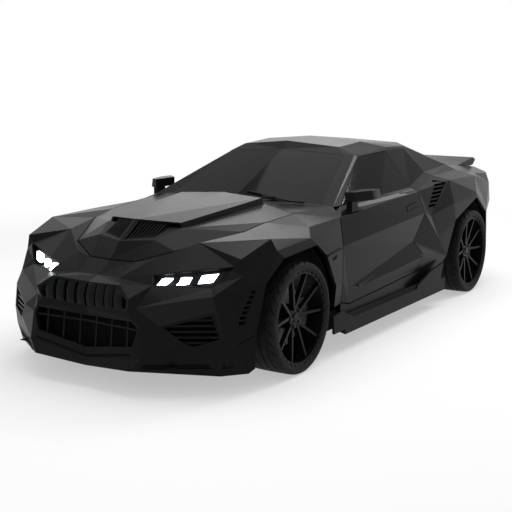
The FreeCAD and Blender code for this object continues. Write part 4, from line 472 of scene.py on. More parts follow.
def tyre(side, end):
    node = f"tyre_{end}_{side}"
    section = [(-x, r) for x, r in TYRE_HALF_SHARES] + [(x, r) for x, r in reversed(TYRE_HALF_SHARES[:-1])]
    points = tyre_points(*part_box(node), section)
    width = len(section)
    around = len(points) // width
    faces = []
    for step in range(around):
        after = (step + 1) % around
        for index in range(width - 1):
            faces.append((step * width + index, step * width + index + 1, after * width + index + 1,
                          after * width + index))
    obj = add_piece(f"tread_{end}_{side}", points, faces, "tyre", f"wheel_{end}_{side}")
    smooth(obj)
    sharp_where_steep(obj)
    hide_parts(node)


# Wheel caps and nuts on the hub face, and the brake disc's steel
HUB_FACE = 0.923
NUT_CIRCLE = 0.057
NUT_RADIUS = 0.0105
NUT_HEIGHT = 0.012
NUT_COUNT = 5
NUT_CORNERS = 6
CAP_RADIUS = 0.034
CAP_TAPER_SHARE = 0.86
CAP_HEIGHT = 0.009
CAP_CORNERS = 32
DISC_RADIUS = 0.195
DISC_BACK = 0.022
DISC_FRONT = 0.011


def wheel_trim(side, end, turn):
    low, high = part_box(f"tyre_{end}_{side}")
    centre = (low + high) / 2
    body = f"wheel_{end}_{side}"
    face = Vector((turn * HUB_FACE, centre.y, centre.z))
    cap = rod(f"wheel_cap_{end}_{side}", face, face + Vector((turn * CAP_HEIGHT, 0, 0)), CAP_RADIUS,
              "rim_black", body, CAP_CORNERS, end_radius=CAP_RADIUS * CAP_TAPER_SHARE)
    bevelled(cap, SMALL_BEVEL)
    for index in range(NUT_COUNT):
        angle = 2 * math.pi * (index + 0.5) / NUT_COUNT
        place = face + Vector((0, NUT_CIRCLE * math.cos(angle), NUT_CIRCLE * math.sin(angle)))
        rod(f"wheel_nut_{end}_{side}_{index + 1}", place, place + Vector((turn * NUT_HEIGHT, 0, 0)),
            NUT_RADIUS, "cast_metal", body, NUT_CORNERS)
    rim = nodes[f"rim_{end}_{side}"]
    rim.data.materials.append(DISC_STEEL)
    for polygon in rim.data.polygons:
        middle = polygon.center
        from_axis = math.hypot(middle.y - centre.y, middle.z - centre.z)
        if from_axis < DISC_RADIUS and -DISC_BACK < (middle.x - centre.x) * turn < DISC_FRONT:
            polygon.material_index = 1


for side, turn in SIDES:
    for end in ("front", "rear"):
        tyre(side, end)
        wheel_trim(side, end, turn)

# Dark plates behind the grilles and the rear vents, painted shade for the dark inside of these openings, and
# a tray under the nose
MOUTH_CORNERS = ((0.0, -2.369, 0.452), (0.382, -2.416, 0.468), (0.424, -2.401, 0.418),
                 (0.388, -2.416, 0.2905), (0.0, -2.396, 0.229))
UPPER_CORNERS = ((0.0, -2.357, 0.642), (0.271, -2.381, 0.655), (0.365, -2.4255, 0.589),
                 (0.3416, -2.411, 0.510), (0.0, -2.379, 0.485))
INTAKE_CORNERS = ((0.5425, -2.359, 0.439), (0.797, -2.18, 0.516), (0.8455, -2.156, 0.350),
                  (0.689, -2.249, 0.295), (0.6395, -2.3006, 0.338))
SHADE_PLATE_DEPTH = 0.075
INTAKE_DEPTH = 0.05
SHADE_PLATE_WALL = 0.004
MOUTH_SPREAD_SHARE = 1.2
INTAKE_SPREAD_SHARE = 1.12
SHADE_PLATE_SPREAD_SHARE = 1.0
QUARTER_NEAR = (0.790, 0.80, 0.84)
QUARTER_FAR = (0.794, 1.05, 1.02)
NOSE_TRAYS = (("nose_tray", (-0.62, -2.34, 0.186), (0.62, -1.93, 0.190)),
              ("nose_tray_front", (-0.40, -2.40, 0.186), (0.40, -2.34, 0.190)))


def shade_plate(name, corners, push, share):
    # A dark plate of the opening's outline, spread round its middle and moved behind it: painted shade for
    # the opening's inside
    middle = sum((Vector(corner) for corner in corners), Vector()) / len(corners)
    backs = [middle + (Vector(corner) - middle) * share + Vector(push) for corner in corners]
    prism(name, backs, (0, SHADE_PLATE_WALL, 0), "grille_black", bevel=0, material=PAINTED_SHADE_DARK)


def mirrored(corners):
    # A symmetrical outline from its left half, whose first and last corners lie on the middle plane
    return list(corners) + [(-x, y, z) for x, y, z in reversed(corners[1:-1])]


shade_plate("shade_plate_mouth", mirrored(MOUTH_CORNERS), (0, SHADE_PLATE_DEPTH, 0), MOUTH_SPREAD_SHARE)
shade_plate("shade_plate_upper", mirrored(UPPER_CORNERS), (0, SHADE_PLATE_DEPTH, 0), SHADE_PLATE_SPREAD_SHARE)
for side, turn in SIDES:
    shade_plate(f"shade_plate_intake_{side}", [(turn * x, y, z) for x, y, z in INTAKE_CORNERS],
         (-turn * INTAKE_DEPTH, INTAKE_DEPTH, 0), INTAKE_SPREAD_SHARE)
    side_block(f"shade_plate_quarter_{side}", turn, QUARTER_NEAR, QUARTER_FAR, "trim_black", bevel=0,
               material=PAINTED_SHADE_DARK)
for name, low, high in NOSE_TRAYS:
    block(name, low, high, "underbody", bevel=0)

# Cushions: closed forms that are puffed up as cloth, capped, and given sewn channels
CUSHION_VOXEL = 0.008
CUSHION_PRESSURE = 4.0
CUSHION_FRAMES = 20
CUSHION_CAP = 0.022
CLOTH_QUALITY = 4
CHANNEL_DEPTH = 0.005
CHANNEL_WIDTH = 0.007
CHANNEL_PLACES = (-0.085, 0.0, 0.085)
CROWN_SHARES = (0.12, 0.88)
ROUND_SEGMENTS = 4


def applied(obj):
    # The mesh of an object with its modifiers in it
    graph = bpy.context.evaluated_depsgraph_get()
    return bpy.data.meshes.new_from_object(obj.evaluated_get(graph))


def puffed(obj):
    # Swells the pad by cloth pressure; no point moves further than the cap
    remesh = obj.modifiers.new("even_mesh", "REMESH")
    remesh.mode = "VOXEL"
    remesh.voxel_size = CUSHION_VOXEL
    even = applied(obj)
    obj.modifiers.clear()
    obj.data = even
    start = [vertex.co.copy() for vertex in even.vertices]
    cloth = obj.modifiers.new("stuffing", "CLOTH")
    cloth.settings.use_pressure = True
    cloth.settings.uniform_pressure_force = CUSHION_PRESSURE
    cloth.settings.effector_weights.gravity = 0
    cloth.settings.quality = CLOTH_QUALITY
    for number in range(1, CUSHION_FRAMES + 1):
        scene.frame_set(number)
    swollen = applied(obj)
    obj.modifiers.remove(cloth)
    scene.frame_set(1)
    moves = [after.co - before for after, before in zip(swollen.vertices, start)]
    drift = sum(moves, Vector()) / len(moves)
    for vertex, before, move in zip(even.vertices, start, moves):
        step = move - drift
        if step.length > CUSHION_CAP:
            step *= CUSHION_CAP / step.length
        vertex.co = before + step


def sewn(obj, middle_x, outward_push):
    # Presses a stitched channel into the pad along each place across it
    for vertex in obj.data.vertices:
        for place in CHANNEL_PLACES:
            away = (vertex.co.x - middle_x - place) / CHANNEL_WIDTH
            vertex.co += Vector(outward_push) * (-CHANNEL_DEPTH * math.exp(-away * away))


def pad(name, outline, x_from, x_to, taper, outward_push):
    # A cushion from its side outline; the side faces are drawn in by the taper share, so that it crowns
    middle = Vector((0, sum(y for y, z in outline) / len(outline), sum(z for y, z in outline) / len(outline)))
    stations = ((x_from, taper), (x_from + (x_to - x_from) * CROWN_SHARES[0], 1.0),
                (x_from + (x_to - x_from) * CROWN_SHARES[1], 1.0), (x_to, taper))
    points = []
    for x, share in stations:
        for y, z in outline:
            points.append((x, middle.y + (y - middle.y) * share, middle.z + (z - middle.z) * share))
    count = len(outline)
    rings = len(stations) - 1
    faces = [tuple(range(count)), tuple(rings * count + index for index in reversed(range(count)))]
    for ring in range(rings):
        for index in range(count):
            after = (index + 1) % count
            faces.append((ring * count + index, (ring + 1) * count + index, (ring + 1) * count + after,
                          ring * count + after))
    obj = outward(add_piece(name, points, faces, "seat_leather", "root"))
    puffed(obj)
    sewn(obj, (x_from + x_to) / 2, outward_push)
    return obj


def finished_pad(obj):
    smooth(obj)
    fine = obj.modifiers.new("fine", "SUBSURF")
    fine.levels = 1
    fine.render_levels = 1


def twin(obj, name):
    # The same pad on the other side of the car
    mesh = obj.data.copy()
    for vertex in mesh.vertices:
        vertex.co.x = -vertex.co.x
    mesh.flip_normals()
    other = bpy.data.objects.new(name, mesh)
    scene.collection.objects.link(other)
    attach(other, "root")
    return other


def firm_pad(name, outline, x_from, x_to, rounding):
    # A rounded pad that is stuffed hard: a bolster or a head rest
    obj = side_form(name, outline, x_from, x_to, "seat_leather", 0)
    rounded = obj.modifiers.new("rounded", "BEVEL")
    rounded.width = rounding
    rounded.segments = ROUND_SEGMENTS
    rounded.use_clamp_overlap = True
    smooth(obj)


# Seats and bench: side outlines as (y, z), and places across the car
SEAT_MIDDLE = 0.42
SEAT_HALF_WIDTH = 0.26
BOLSTER_WIDTH = 0.055
BOLSTER_GAP = 0.004
BOLSTER_ROUNDING = 0.02
PAD_GAP = 0.012
SEAT_INNER_HALF = SEAT_HALF_WIDTH - BOLSTER_WIDTH
SEAT_TAPER_SHARE = 0.80
BENCH_MIDDLE = 0.27
BENCH_HALF_WIDTH = 0.235
BENCH_TAPER_SHARE = 0.82
PUSH_UP = (0, 0, 1)
PUSH_FORWARD = (0, -1, 0.2)
SEAT_CUSHION = ((-0.295, 0.305), (-0.295, 0.375), (0.115, 0.335), (0.125, 0.275))
SEAT_BACK = ((0.165, 0.395), (0.215, 0.375), (0.335, 0.785), (0.300, 0.800))
BENCH_CUSHION = ((0.500, 0.425), (0.495, 0.500), (0.700, 0.475), (0.715, 0.425))
BENCH_BACK = ((0.735, 0.470), (0.790, 0.455), (0.865, 0.775), (0.830, 0.790))
SEAT_SHELL = ((-0.27, 0.215), (-0.31, 0.300), (0.12, 0.268), (0.165, 0.360), (0.300, 0.830), (0.395, 0.830),
              (0.330, 0.560), (0.24, 0.262), (0.20, 0.215))
SEAT_SHELL_BEVEL = 0.012
BOLSTERS = (("cushion", ((-0.30, 0.270), (-0.315, 0.395), (0.06, 0.395), (0.16, 0.330), (0.16, 0.262))),
            ("back", ((0.13, 0.400), (0.205, 0.330), (0.27, 0.480), (0.365, 0.800), (0.300, 0.815),
                      (0.215, 0.640))))
HEAD_REST = ((0.335, 0.850), (0.345, 0.965), (0.365, 0.980), (0.415, 0.975), (0.425, 0.860), (0.40, 0.845))
HEAD_REST_HALF = 0.13
HEAD_REST_ROUNDING = 0.018
POSTS = (("a", -0.05), ("b", 0.05))
POST_FOOT = (0.355, 0.815)
POST_HEAD = (0.380, 0.870)
POST_RADIUS = 0.006
BENCH_SHELL = ((0.475, 0.400), (0.475, 0.445), (0.735, 0.445), (0.860, 0.805), (0.885, 0.805), (0.885, 0.400))
BENCH_SHELL_HALF = 0.535
BENCH_SHELL_BEVEL = 0.01
SEAT_FROM = SEAT_MIDDLE - SEAT_INNER_HALF + PAD_GAP
SEAT_TO = SEAT_MIDDLE + SEAT_INNER_HALF - PAD_GAP
BENCH_FROM = BENCH_MIDDLE - BENCH_HALF_WIDTH
BENCH_TO = BENCH_MIDDLE + BENCH_HALF_WIDTH
PADS = (("seat_cushion", SEAT_CUSHION, SEAT_FROM, SEAT_TO, SEAT_TAPER_SHARE, PUSH_UP),
        ("seat_back", SEAT_BACK, SEAT_FROM, SEAT_TO, SEAT_TAPER_SHARE, PUSH_FORWARD),
        ("bench_cushion", BENCH_CUSHION, BENCH_FROM, BENCH_TO, BENCH_TAPER_SHARE, PUSH_UP),
        ("bench_back", BENCH_BACK, BENCH_FROM, BENCH_TO, BENCH_TAPER_SHARE, PUSH_FORWARD))


def front_seat(side, turn):
    # The hard parts and the firm pads of one seat; returns its shell
    middle = turn * SEAT_MIDDLE
    shell = side_form(f"seat_shell_{side}", SEAT_SHELL, middle - SEAT_INNER_HALF, middle + SEAT_INNER_HALF,
                      "dash_plastic", SEAT_SHELL_BEVEL)
    for edge in (-1, 1):
        place = "inner" if edge * turn < 0 else "outer"
        near = middle + edge * SEAT_INNER_HALF
        far = middle + edge * (SEAT_HALF_WIDTH - BOLSTER_GAP)
        for word, outline in BOLSTERS:
            firm_pad(f"seat_{word}_bolster_{side}_{place}", outline, min(near, far), max(near, far),
                     BOLSTER_ROUNDING)
    firm_pad(f"head_rest_{side}", HEAD_REST, middle - HEAD_REST_HALF, middle + HEAD_REST_HALF,
             HEAD_REST_ROUNDING)
    for word, away in POSTS:
        rod(f"head_rest_post_{side}_{word}", (middle + away, *POST_FOOT), (middle + away, *POST_HEAD),
            POST_RADIUS, "exhaust_steel")
    return shell


left_pads = [pad(f"{name}_left", *measures) for name, *measures in PADS]
for piece, (name, *_) in zip(left_pads, PADS):
    finished_pad(twin(piece, f"{name}_right"))
    finished_pad(piece)
seat_shells = [front_seat(side, turn) for side, turn in SIDES]
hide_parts("front_seats")
bench_shell = side_form("bench_shell", BENCH_SHELL, -BENCH_SHELL_HALF, BENCH_SHELL_HALF, "dash_plastic",
                        BENCH_SHELL_BEVEL)
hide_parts("rear_bench")

# Centre console: name, low and high corner, slot, bevel
CONSOLE = (("console_body", (-0.105, -0.62, 0.415), (0.105, 0.36, 0.520), "dash_plastic", 0.012),
           ("console_armrest", (-0.095, 0.02, 0.522), (0.095, 0.34, 0.575), "seat_leather", 0.014),
           ("console_plate", (-0.080, -0.50, 0.521), (0.080, -0.02, 0.527), "grille_black", 0.003))
CONSOLE_TOP = 0.527
GEAR_LEVER = ((0, -0.24, CONSOLE_TOP), (0, -0.255, 0.610))
GEAR_LEVER_RADIUS = 0.009
GEAR_KNOB = ((0, -0.253, 0.600), (0, -0.262, 0.655))
GEAR_KNOB_RADIUS = 0.022
GEAR_KNOB_END_RADIUS = 0.018
GEAR_KNOB_CORNERS = 24
CUP_PLACES = (-0.36, -0.445)
CUP_RADIUS = 0.036
CUP_TOP = 0.531
CUP_CORNERS = 32
for name, low, high, slot, bevel in CONSOLE:
    block(name, low, high, slot, bevel=bevel)
rod("gear_lever", *GEAR_LEVER, GEAR_LEVER_RADIUS, "exhaust_steel")
rod("gear_knob", *GEAR_KNOB, GEAR_KNOB_RADIUS, "seat_leather", corners=GEAR_KNOB_CORNERS,
    end_radius=GEAR_KNOB_END_RADIUS)
for index, place in enumerate(CUP_PLACES):
    rod(f"cup_ring_{index + 1}", (0, place, CONSOLE_TOP), (0, place, CUP_TOP), CUP_RADIUS, "dash_plastic",
        corners=CUP_CORNERS)

# On the dashboard: name, low and high x, y from the dashboard's face, z, bevel and material
DASH_FACE = nearest_hit(("dashboard",), (0, 0, 0.80), FORWARD).y
DASH_PARTS = (("dash_screen", (-0.150, 0.150), (-0.004, 0.012), (0.735, 0.885), 0.004, None),
              ("dash_screen_glass", (-0.142, 0.142), (0.0122, 0.0135), (0.742, 0.878), 0, SCREEN_GLASS),
              ("instrument_hood", (0.270, 0.570), (-0.01, 0.055), (0.850, 0.862), 0.004, None),
              ("instrument_glass", (0.285, 0.555), (0.001, 0.006), (0.760, 0.845), 0, SCREEN_GLASS))
VENTS = (("right", -0.62), ("left", 0.66), ("middle", -0.24))
VENT_BLADES = 4
VENT_HALF_WIDTH = 0.055
VENT_LOW = 0.775
VENT_STEP = 0.018
VENT_BLADE_HEIGHT = 0.009
VENT_BACK = 0.002
VENT_FRONT = 0.012
VENT_BEVEL = 0.0015
for name, across, deep, tall, bevel, material in DASH_PARTS:
    block(name, (across[0], DASH_FACE + deep[0], tall[0]), (across[1], DASH_FACE + deep[1], tall[1]),
          "dash_plastic", bevel=bevel, material=material)
for word, place in VENTS:
    for blade in range(VENT_BLADES):
        low = VENT_LOW + VENT_STEP * blade
        block(f"dash_vent_{word}_{blade + 1}", (place - VENT_HALF_WIDTH, DASH_FACE - VENT_BACK, low),
              (place + VENT_HALF_WIDTH, DASH_FACE + VENT_FRONT, low + VENT_BLADE_HEIGHT), "grille_black",
              bevel=VENT_BEVEL)

# Pedals: name, place across the car, low edge
PEDALS = (("clutch", 0.50, 0.30), ("brake", 0.42, 0.30), ("drive", 0.335, 0.28))
PEDAL_HALF_WIDTH = 0.028
PEDAL_BACK = -0.905
PEDAL_FACE = -0.893
PEDAL_HEIGHT = 0.075
PEDAL_ARM_FOOT = 0.06
PEDAL_ARM_TOP = 0.26
PEDAL_ARM_END = -0.975
PEDAL_ARM_RADIUS = 0.007
for word, place, low in PEDALS:
    block(f"pedal_{word}", (place - PEDAL_HALF_WIDTH, PEDAL_BACK, low),
          (place + PEDAL_HALF_WIDTH, PEDAL_FACE, low + PEDAL_HEIGHT), "exhaust_steel")
    rod(f"pedal_arm_{word}", (place, PEDAL_BACK, low + PEDAL_ARM_FOOT),
        (place, PEDAL_ARM_END, low + PEDAL_ARM_TOP), PEDAL_ARM_RADIUS, "underbody")

# Thin strips laid on the surfaces
STRIP_DEPTH = 0.003


def laid_strip(name, node_names, low_rail, high_rail, direction, lift, slot="trim_black", body="root",
               material=None, low_lift=None):
    # A strip of even thickness that follows the surface of some nodes between two rails of points
    way = Vector(direction).normalized()
    surface = [nearest_hit(node_names, place, way) for place in list(low_rail) + list(high_rail)]
    count = len(low_rail)
    first_lift = lift if low_lift is None else low_lift
    outer = [point - way * (first_lift if index < count else lift) for index, point in enumerate(surface)]
    inner = [point + way * STRIP_DEPTH for point in surface]
    total = len(outer)
    faces = []
    for index in range(count - 1):
        a, b, c, d = index, index + 1, count + index + 1, count + index
        faces.append((a, b, c, d))
        faces.append((total + d, total + c, total + b, total + a))
        faces.append((a, total + a, total + b, b))
        faces.append((d, c, total + c, total + d))
    for index in (0, count - 1):
        faces.append((index, count + index, total + count + index, total + index))
    return outward(add_piece(name, outer + inner, faces, slot, body, material))


def rail(points, steps):
    # The points with evenly spaced ones between them
    result = []
    for before, after in zip(points, points[1:]):
        for step in range(steps):
            result.append(Vector(before).lerp(Vector(after), step / steps))
    return result + [Vector(points[-1])]


# The splitter's edge, and a dark band above it that is painted shadow for the recess over the splitter
SHADOW_LIFT = 0.0012
NOSE_NODES = ("front_splitter", "front_bumper")
SPLITTER_STATIONS = (0.37, 0.45, 0.52, 0.60, 0.68, 0.76, 0.83, 0.87)
SHADOW_BAND_LOW = 0.176
SHADOW_BAND_HIGH = 0.205
EDGE_LOW = 0.160
EDGE_LIFT = 0.006
for side, turn in SIDES:
    under_rail, low_rail, high_rail = ([(turn * x, FRONT_AWAY, z) for x in SPLITTER_STATIONS]
                                       for z in (EDGE_LOW, SHADOW_BAND_LOW, SHADOW_BAND_HIGH))
    # A dark band laid flat on the bumper: painted shadow of the recess above the splitter
    laid_strip(f"splitter_painted_shadow_{side}", NOSE_NODES, low_rail, high_rail, BACKWARD, SHADOW_LIFT,
               material=PAINTED_SHADE_DARK)
    laid_strip(f"splitter_edge_{side}", NOSE_NODES, under_rail, low_rail, BACKWARD, EDGE_LIFT)

# Raised edge of each side fin of the splitter, as (y, z), and the shadow under the mouth's lip
FIN_EDGE = ((-2.105, 0.190), (-2.059, 0.3168), (-1.9626, 0.3493))
FIN_WIDTH = 0.010
FIN_LIFT = 0.006
LIP_STATIONS = (-0.40, -0.30, -0.20, -0.10, 0.0, 0.10, 0.20, 0.30, 0.36)
LIP_MIDDLE = 0.229
LIP_RISE_SHARE = 0.158
LIP_DROP = 0.028
LIP_SHADOW = 0.014
for side, turn in SIDES:
    low_rail = [(turn * SIDE_AWAY, y, z - FIN_WIDTH) for y, z in FIN_EDGE]
    high_rail = [(turn * SIDE_AWAY, y, z) for y, z in FIN_EDGE]
    laid_strip(f"fin_edge_{side}", (*NOSE_NODES, f"fender_{side}"), low_rail, high_rail, (-turn, 0, 0),
               FIN_LIFT)


def lip_rail(drop):
    return [(x, FRONT_AWAY, LIP_MIDDLE + LIP_RISE_SHARE * abs(x) - drop) for x in LIP_STATIONS]


laid_strip("lip_shadow", NOSE_NODES, lip_rail(LIP_DROP + LIP_SHADOW), lip_rail(LIP_DROP), BACKWARD,
           SHADOW_LIFT, material=PAINTED_SHADE_DARK)

# Ducktail on the trunk lid, in the spoiler's place
DUCKTAIL_STATIONS = (-0.62, -0.60, -0.31, 0.0, 0.31, 0.60, 0.62)
DUCKTAIL_HALF_WIDTH = 0.62
DUCKTAIL_START = 1.962
DUCKTAIL_SEAT = 1.982
DUCKTAIL_RISE = 2.102
DUCKTAIL_TOP_Y = 2.372
DUCKTAIL_END = 2.424
DUCKTAIL_TOP = 1.111
DUCKTAIL_EDGE_HIGH = 1.094
DUCKTAIL_EDGE_LOW = 1.078
DUCKTAIL_UNDER = 1.036
DUCKTAIL_THICKNESS = 0.014
DUCKTAIL_CLEARANCE = 0.0015
DUCKTAIL_TIP_DROP = 0.004
LID_END = 2.30


def ducktail():
    points = []
    for x in DUCKTAIL_STATIONS:
        front = nearest_hit(("trunk_lid",), (x, DUCKTAIL_SEAT, TOP_AWAY), DOWNWARD).z
        back = nearest_hit(("trunk_lid",), (x, LID_END, TOP_AWAY), DOWNWARD).z
        drop = DUCKTAIL_TIP_DROP * abs(x) / DUCKTAIL_HALF_WIDTH
        section = ((DUCKTAIL_START, front + DUCKTAIL_CLEARANCE), (LID_END, back + DUCKTAIL_CLEARANCE),
                   (DUCKTAIL_TOP_Y, DUCKTAIL_UNDER), (DUCKTAIL_END, DUCKTAIL_EDGE_LOW - drop),
                   (DUCKTAIL_END, DUCKTAIL_EDGE_HIGH - drop), (DUCKTAIL_TOP_Y, DUCKTAIL_TOP - drop),
                   (DUCKTAIL_RISE, front + DUCKTAIL_THICKNESS))
        points += [(x, y, z) for y, z in section]
    ring = len(section)
    last = len(DUCKTAIL_STATIONS) - 1
    faces = [tuple(range(ring)), tuple(last * ring + index for index in range(ring))]
    for station in range(last):
        for index in range(ring):
            after = (index + 1) % ring
            faces.append((station * ring + index, station * ring + after, (station + 1) * ring + after,
                          (station + 1) * ring + index))
    tail = outward(add_piece("ducktail", points, faces, "body_paint", "trunk_lid"))
    bevelled(tail, PANEL_BEVEL)
    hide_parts("rear_spoiler")


ducktail()

# Strips on the sides: name, nodes, steps, lift, lift of the low rail, slot and material, then the low and the
# high rail as (y, z)
SIDE_STRIPS = (
    # The handle recess strip is dark and laid flat on the door: painted shade for the recess behind the
    # handle
    ("handle_recess", ("door",), 3, 0.0008, None, "trim_black", PAINTED_SHADE_DARK,
     ((0.185, 0.846), (0.400, 0.866)), ((0.188, 0.886), (0.398, 0.906))),
    ("handle_blade", ("door",), 3, 0.004, None, "body_paint", None,
     ((0.192, 0.853), (0.394, 0.872)), ((0.194, 0.881), (0.392, 0.899))),
    ("door_blade", ("door",), 4, 0.0008, 0.020, "body_paint", None,
     ((-0.620, 0.411), (0.400, 0.470)), ((-0.620, 0.421), (0.400, 0.535))),
    ("belt_strip", ("door", "door_glass"), 5, 0.003, None, "trim_black", SATIN_TRIM,
     ((-0.520, 0.948), (0.480, 0.970)), ((-0.500, 0.968), (0.480, 0.990))),
    ("fender_blade", ("fender",), 3, 0.008, None, "trim_black", None,
     ((-1.135, 0.704), (-0.925, 0.718)), ((-1.135, 0.714), (-0.915, 0.728))),
)
MIRROR_FACE = ((0.830, -0.412, 1.005), (0.953, -0.320, 1.005), (0.936, -0.320, 1.071), (0.830, -0.412, 1.071))
MIRROR_FACING = (-0.6, 0.8)
MIRROR_GLASS_SHARE = 0.86
MIRROR_GLASS_DEPTH = 0.0015


def side_strips(side, turn):
    for name, found_on, steps, lift, low_lift, slot, material, *lines in SIDE_STRIPS:
        rails = [rail([(turn * SIDE_AWAY, y, z) for y, z in line], steps) for line in lines]
        body = f"door_{side}" if "door" in found_on else "root"
        laid_strip(f"{name}_{side}", [f"{node}_{side}" for node in found_on], *rails, (-turn, 0, 0), lift,
                   slot, body, material, low_lift)


def mirror_glass(side, turn):
    corners = [Vector((turn * x, y, z)) for x, y, z in MIRROR_FACE]
    middle = sum(corners, Vector()) / len(corners)
    outline = [middle + (corner - middle) * MIRROR_GLASS_SHARE for corner in corners]
    facing = Vector((turn * MIRROR_FACING[0], MIRROR_FACING[1], 0))
    prism(f"mirror_glass_{side}", outline, facing * MIRROR_GLASS_DEPTH, "trim_black", f"door_{side}", 0,
          MIRROR_GLASS)


for side, turn in SIDES:
    side_strips(side, turn)
    mirror_glass(side, turn)

# Wipers along the foot of the windshield: the blade's start and end and the pivot, as (x, y)
WIPERS = (("left", (0.06, -0.700), (0.560, -0.745), (0.10, -0.80)),
          ("right", (-0.52, -0.690), (-0.040, -0.745), (-0.46, -0.78)))
WIPER_NODES = ("windshield", "cowl_panel")
WIPER_SHARES = (0.0, 0.25, 0.5, 0.75, 1.0)
WIPER_LIFT = 0.010
WIPER_RADIUS = 0.006
WIPER_CORNERS = 8
WIPER_ARM_RADIUS = 0.007
WIPER_ARM_FOOT = 0.012
WIPER_ARM_LIFT = 0.008
WIPER_PIVOT_RADIUS = 0.014
WIPER_PIVOT_HEIGHT = 0.020
WIPER_PIVOT_CORNERS = 20


def lifted(point, height):
    return point + Vector((0, 0, height))


for word, start, end, pivot in WIPERS:
    blade_points = []
    for share in WIPER_SHARES:
        x = start[0] + (end[0] - start[0]) * share
        y = start[1] + (end[1] - start[1]) * share
        blade_points.append(lifted(nearest_hit(WIPER_NODES, (x, y, TOP_AWAY), DOWNWARD), WIPER_LIFT))
    for index, (before, after) in enumerate(zip(blade_points, blade_points[1:])):
        rod(f"wiper_blade_{word}_{index + 1}", before, after, WIPER_RADIUS, "trim_black",
            corners=WIPER_CORNERS)
    foot = nearest_hit(WIPER_NODES, (*pivot, TOP_AWAY), DOWNWARD)
    blade_middle = blade_points[len(blade_points) // 2]
    rod(f"wiper_arm_{word}", lifted(foot, WIPER_ARM_FOOT), lifted(blade_middle, WIPER_ARM_LIFT),
        WIPER_ARM_RADIUS, "trim_black", corners=WIPER_CORNERS)
    rod(f"wiper_pivot_{word}", foot, lifted(foot, WIPER_PIVOT_HEIGHT), WIPER_PIVOT_RADIUS, "trim_black",
        corners=WIPER_PIVOT_CORNERS)

# Rear: dark bars over the red lamp and a blank plate place
LAMP_LOW, LAMP_HIGH = (corner.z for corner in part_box("tail_lamps"))
LAMP_STEPS = 40
BAR_PLACES = (0.16, 0.32, 0.48, 0.64)
BAR_HALF_WIDTH = 0.006
BAR_LIFT = 0.003
PLATE_STATIONS = (-0.265, 0.0, 0.265)
PLATE_LOW = 0.585
PLATE_MIDDLE = 0.645
PLATE_HIGH = 0.705
PLATE_PLACE_LIFT = 0.001
PLATE_BLANK_LOW = (-0.255, 0.592)
PLATE_BLANK_HIGH = (0.255, 0.698)
PLATE_BLANK_INNER = 0.006
PLATE_BLANK_OUTER = 0.0012


def lamp_heights(x):
    # The heights at which a line from behind the car meets the tail lamp at x
    heights = [LAMP_LOW + (LAMP_HIGH - LAMP_LOW) * step / LAMP_STEPS for step in range(1, LAMP_STEPS)]
    lamp = skin("tail_lamps")
    return [z for z in heights if lamp.ray_cast(Vector((x, REAR_AWAY, z)), Vector(FORWARD))[0] is not None]


for side, turn in SIDES:
    for index, place in enumerate(BAR_PLACES):
        heights = lamp_heights(turn * place)
        if len(heights) > 2:
            edges = (turn * (place - BAR_HALF_WIDTH), turn * (place + BAR_HALF_WIDTH))
            low_rail, high_rail = ([(x, REAR_AWAY, z) for x in edges] for z in (heights[1], heights[-2]))
            laid_strip(f"lamp_bar_{side}_{index + 1}", ("tail_lamps",), low_rail, high_rail, FORWARD,
                       BAR_LIFT)
plate_low, plate_high = ([(x, REAR_AWAY, z) for x in PLATE_STATIONS] for z in (PLATE_LOW, PLATE_HIGH))
laid_strip("plate_place", ("rear_bumper",), plate_low, plate_high, FORWARD, PLATE_PLACE_LIFT)
plate_face = nearest_hit(("rear_bumper",), (0.0, REAR_AWAY, PLATE_MIDDLE), FORWARD).y
block("plate_blank", (PLATE_BLANK_LOW[0], plate_face - PLATE_BLANK_INNER, PLATE_BLANK_LOW[1]),
      (PLATE_BLANK_HIGH[0], plate_face + PLATE_BLANK_OUTER, PLATE_BLANK_HIGH[1]), "trim_black")

# Exhaust tips, on the ends of the two tail pipes
TIP_WALL = 0.003
TIP_END = 2.392
TIP_LENGTH_INSIDE = 0.05
TIP_MOUTH_SHARE = 0.9
TIP_MOUTH_DEPTH = 0.0008
TIP_CORNERS = 40


def exhaust_tip(side, turn):
    pipe_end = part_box("exhaust")[1].y
    ring = [vertex.co for vertex in nodes["exhaust"].data.vertices
            if vertex.co.y > pipe_end - TIP_WALL and vertex.co.x * turn > 0]
    low_x, high_x = min(point.x for point in ring), max(point.x for point in ring)
    low_z, high_z = min(point.z for point in ring), max(point.z for point in ring)
    start = Vector(((low_x + high_x) / 2, pipe_end - TIP_LENGTH_INSIDE, (low_z + high_z) / 2))
    end = Vector((start.x, TIP_END, start.z))
    radius = (high_x - low_x) / 2 + TIP_WALL
    rod(f"exhaust_tip_{side}", start, end, radius, "exhaust_steel", corners=TIP_CORNERS)
    # A thin dark disc over the tip's end: painted shade for the pipe's hollow
    rod(f"exhaust_tip_hollow_shade_{side}", end, end + Vector((0, TIP_MOUTH_DEPTH, 0)), radius * TIP_MOUTH_SHARE,
        "trim_black", corners=TIP_CORNERS, material=PAINTED_SHADE_DARK)


for side, turn in SIDES:
    exhaust_tip(side, turn)

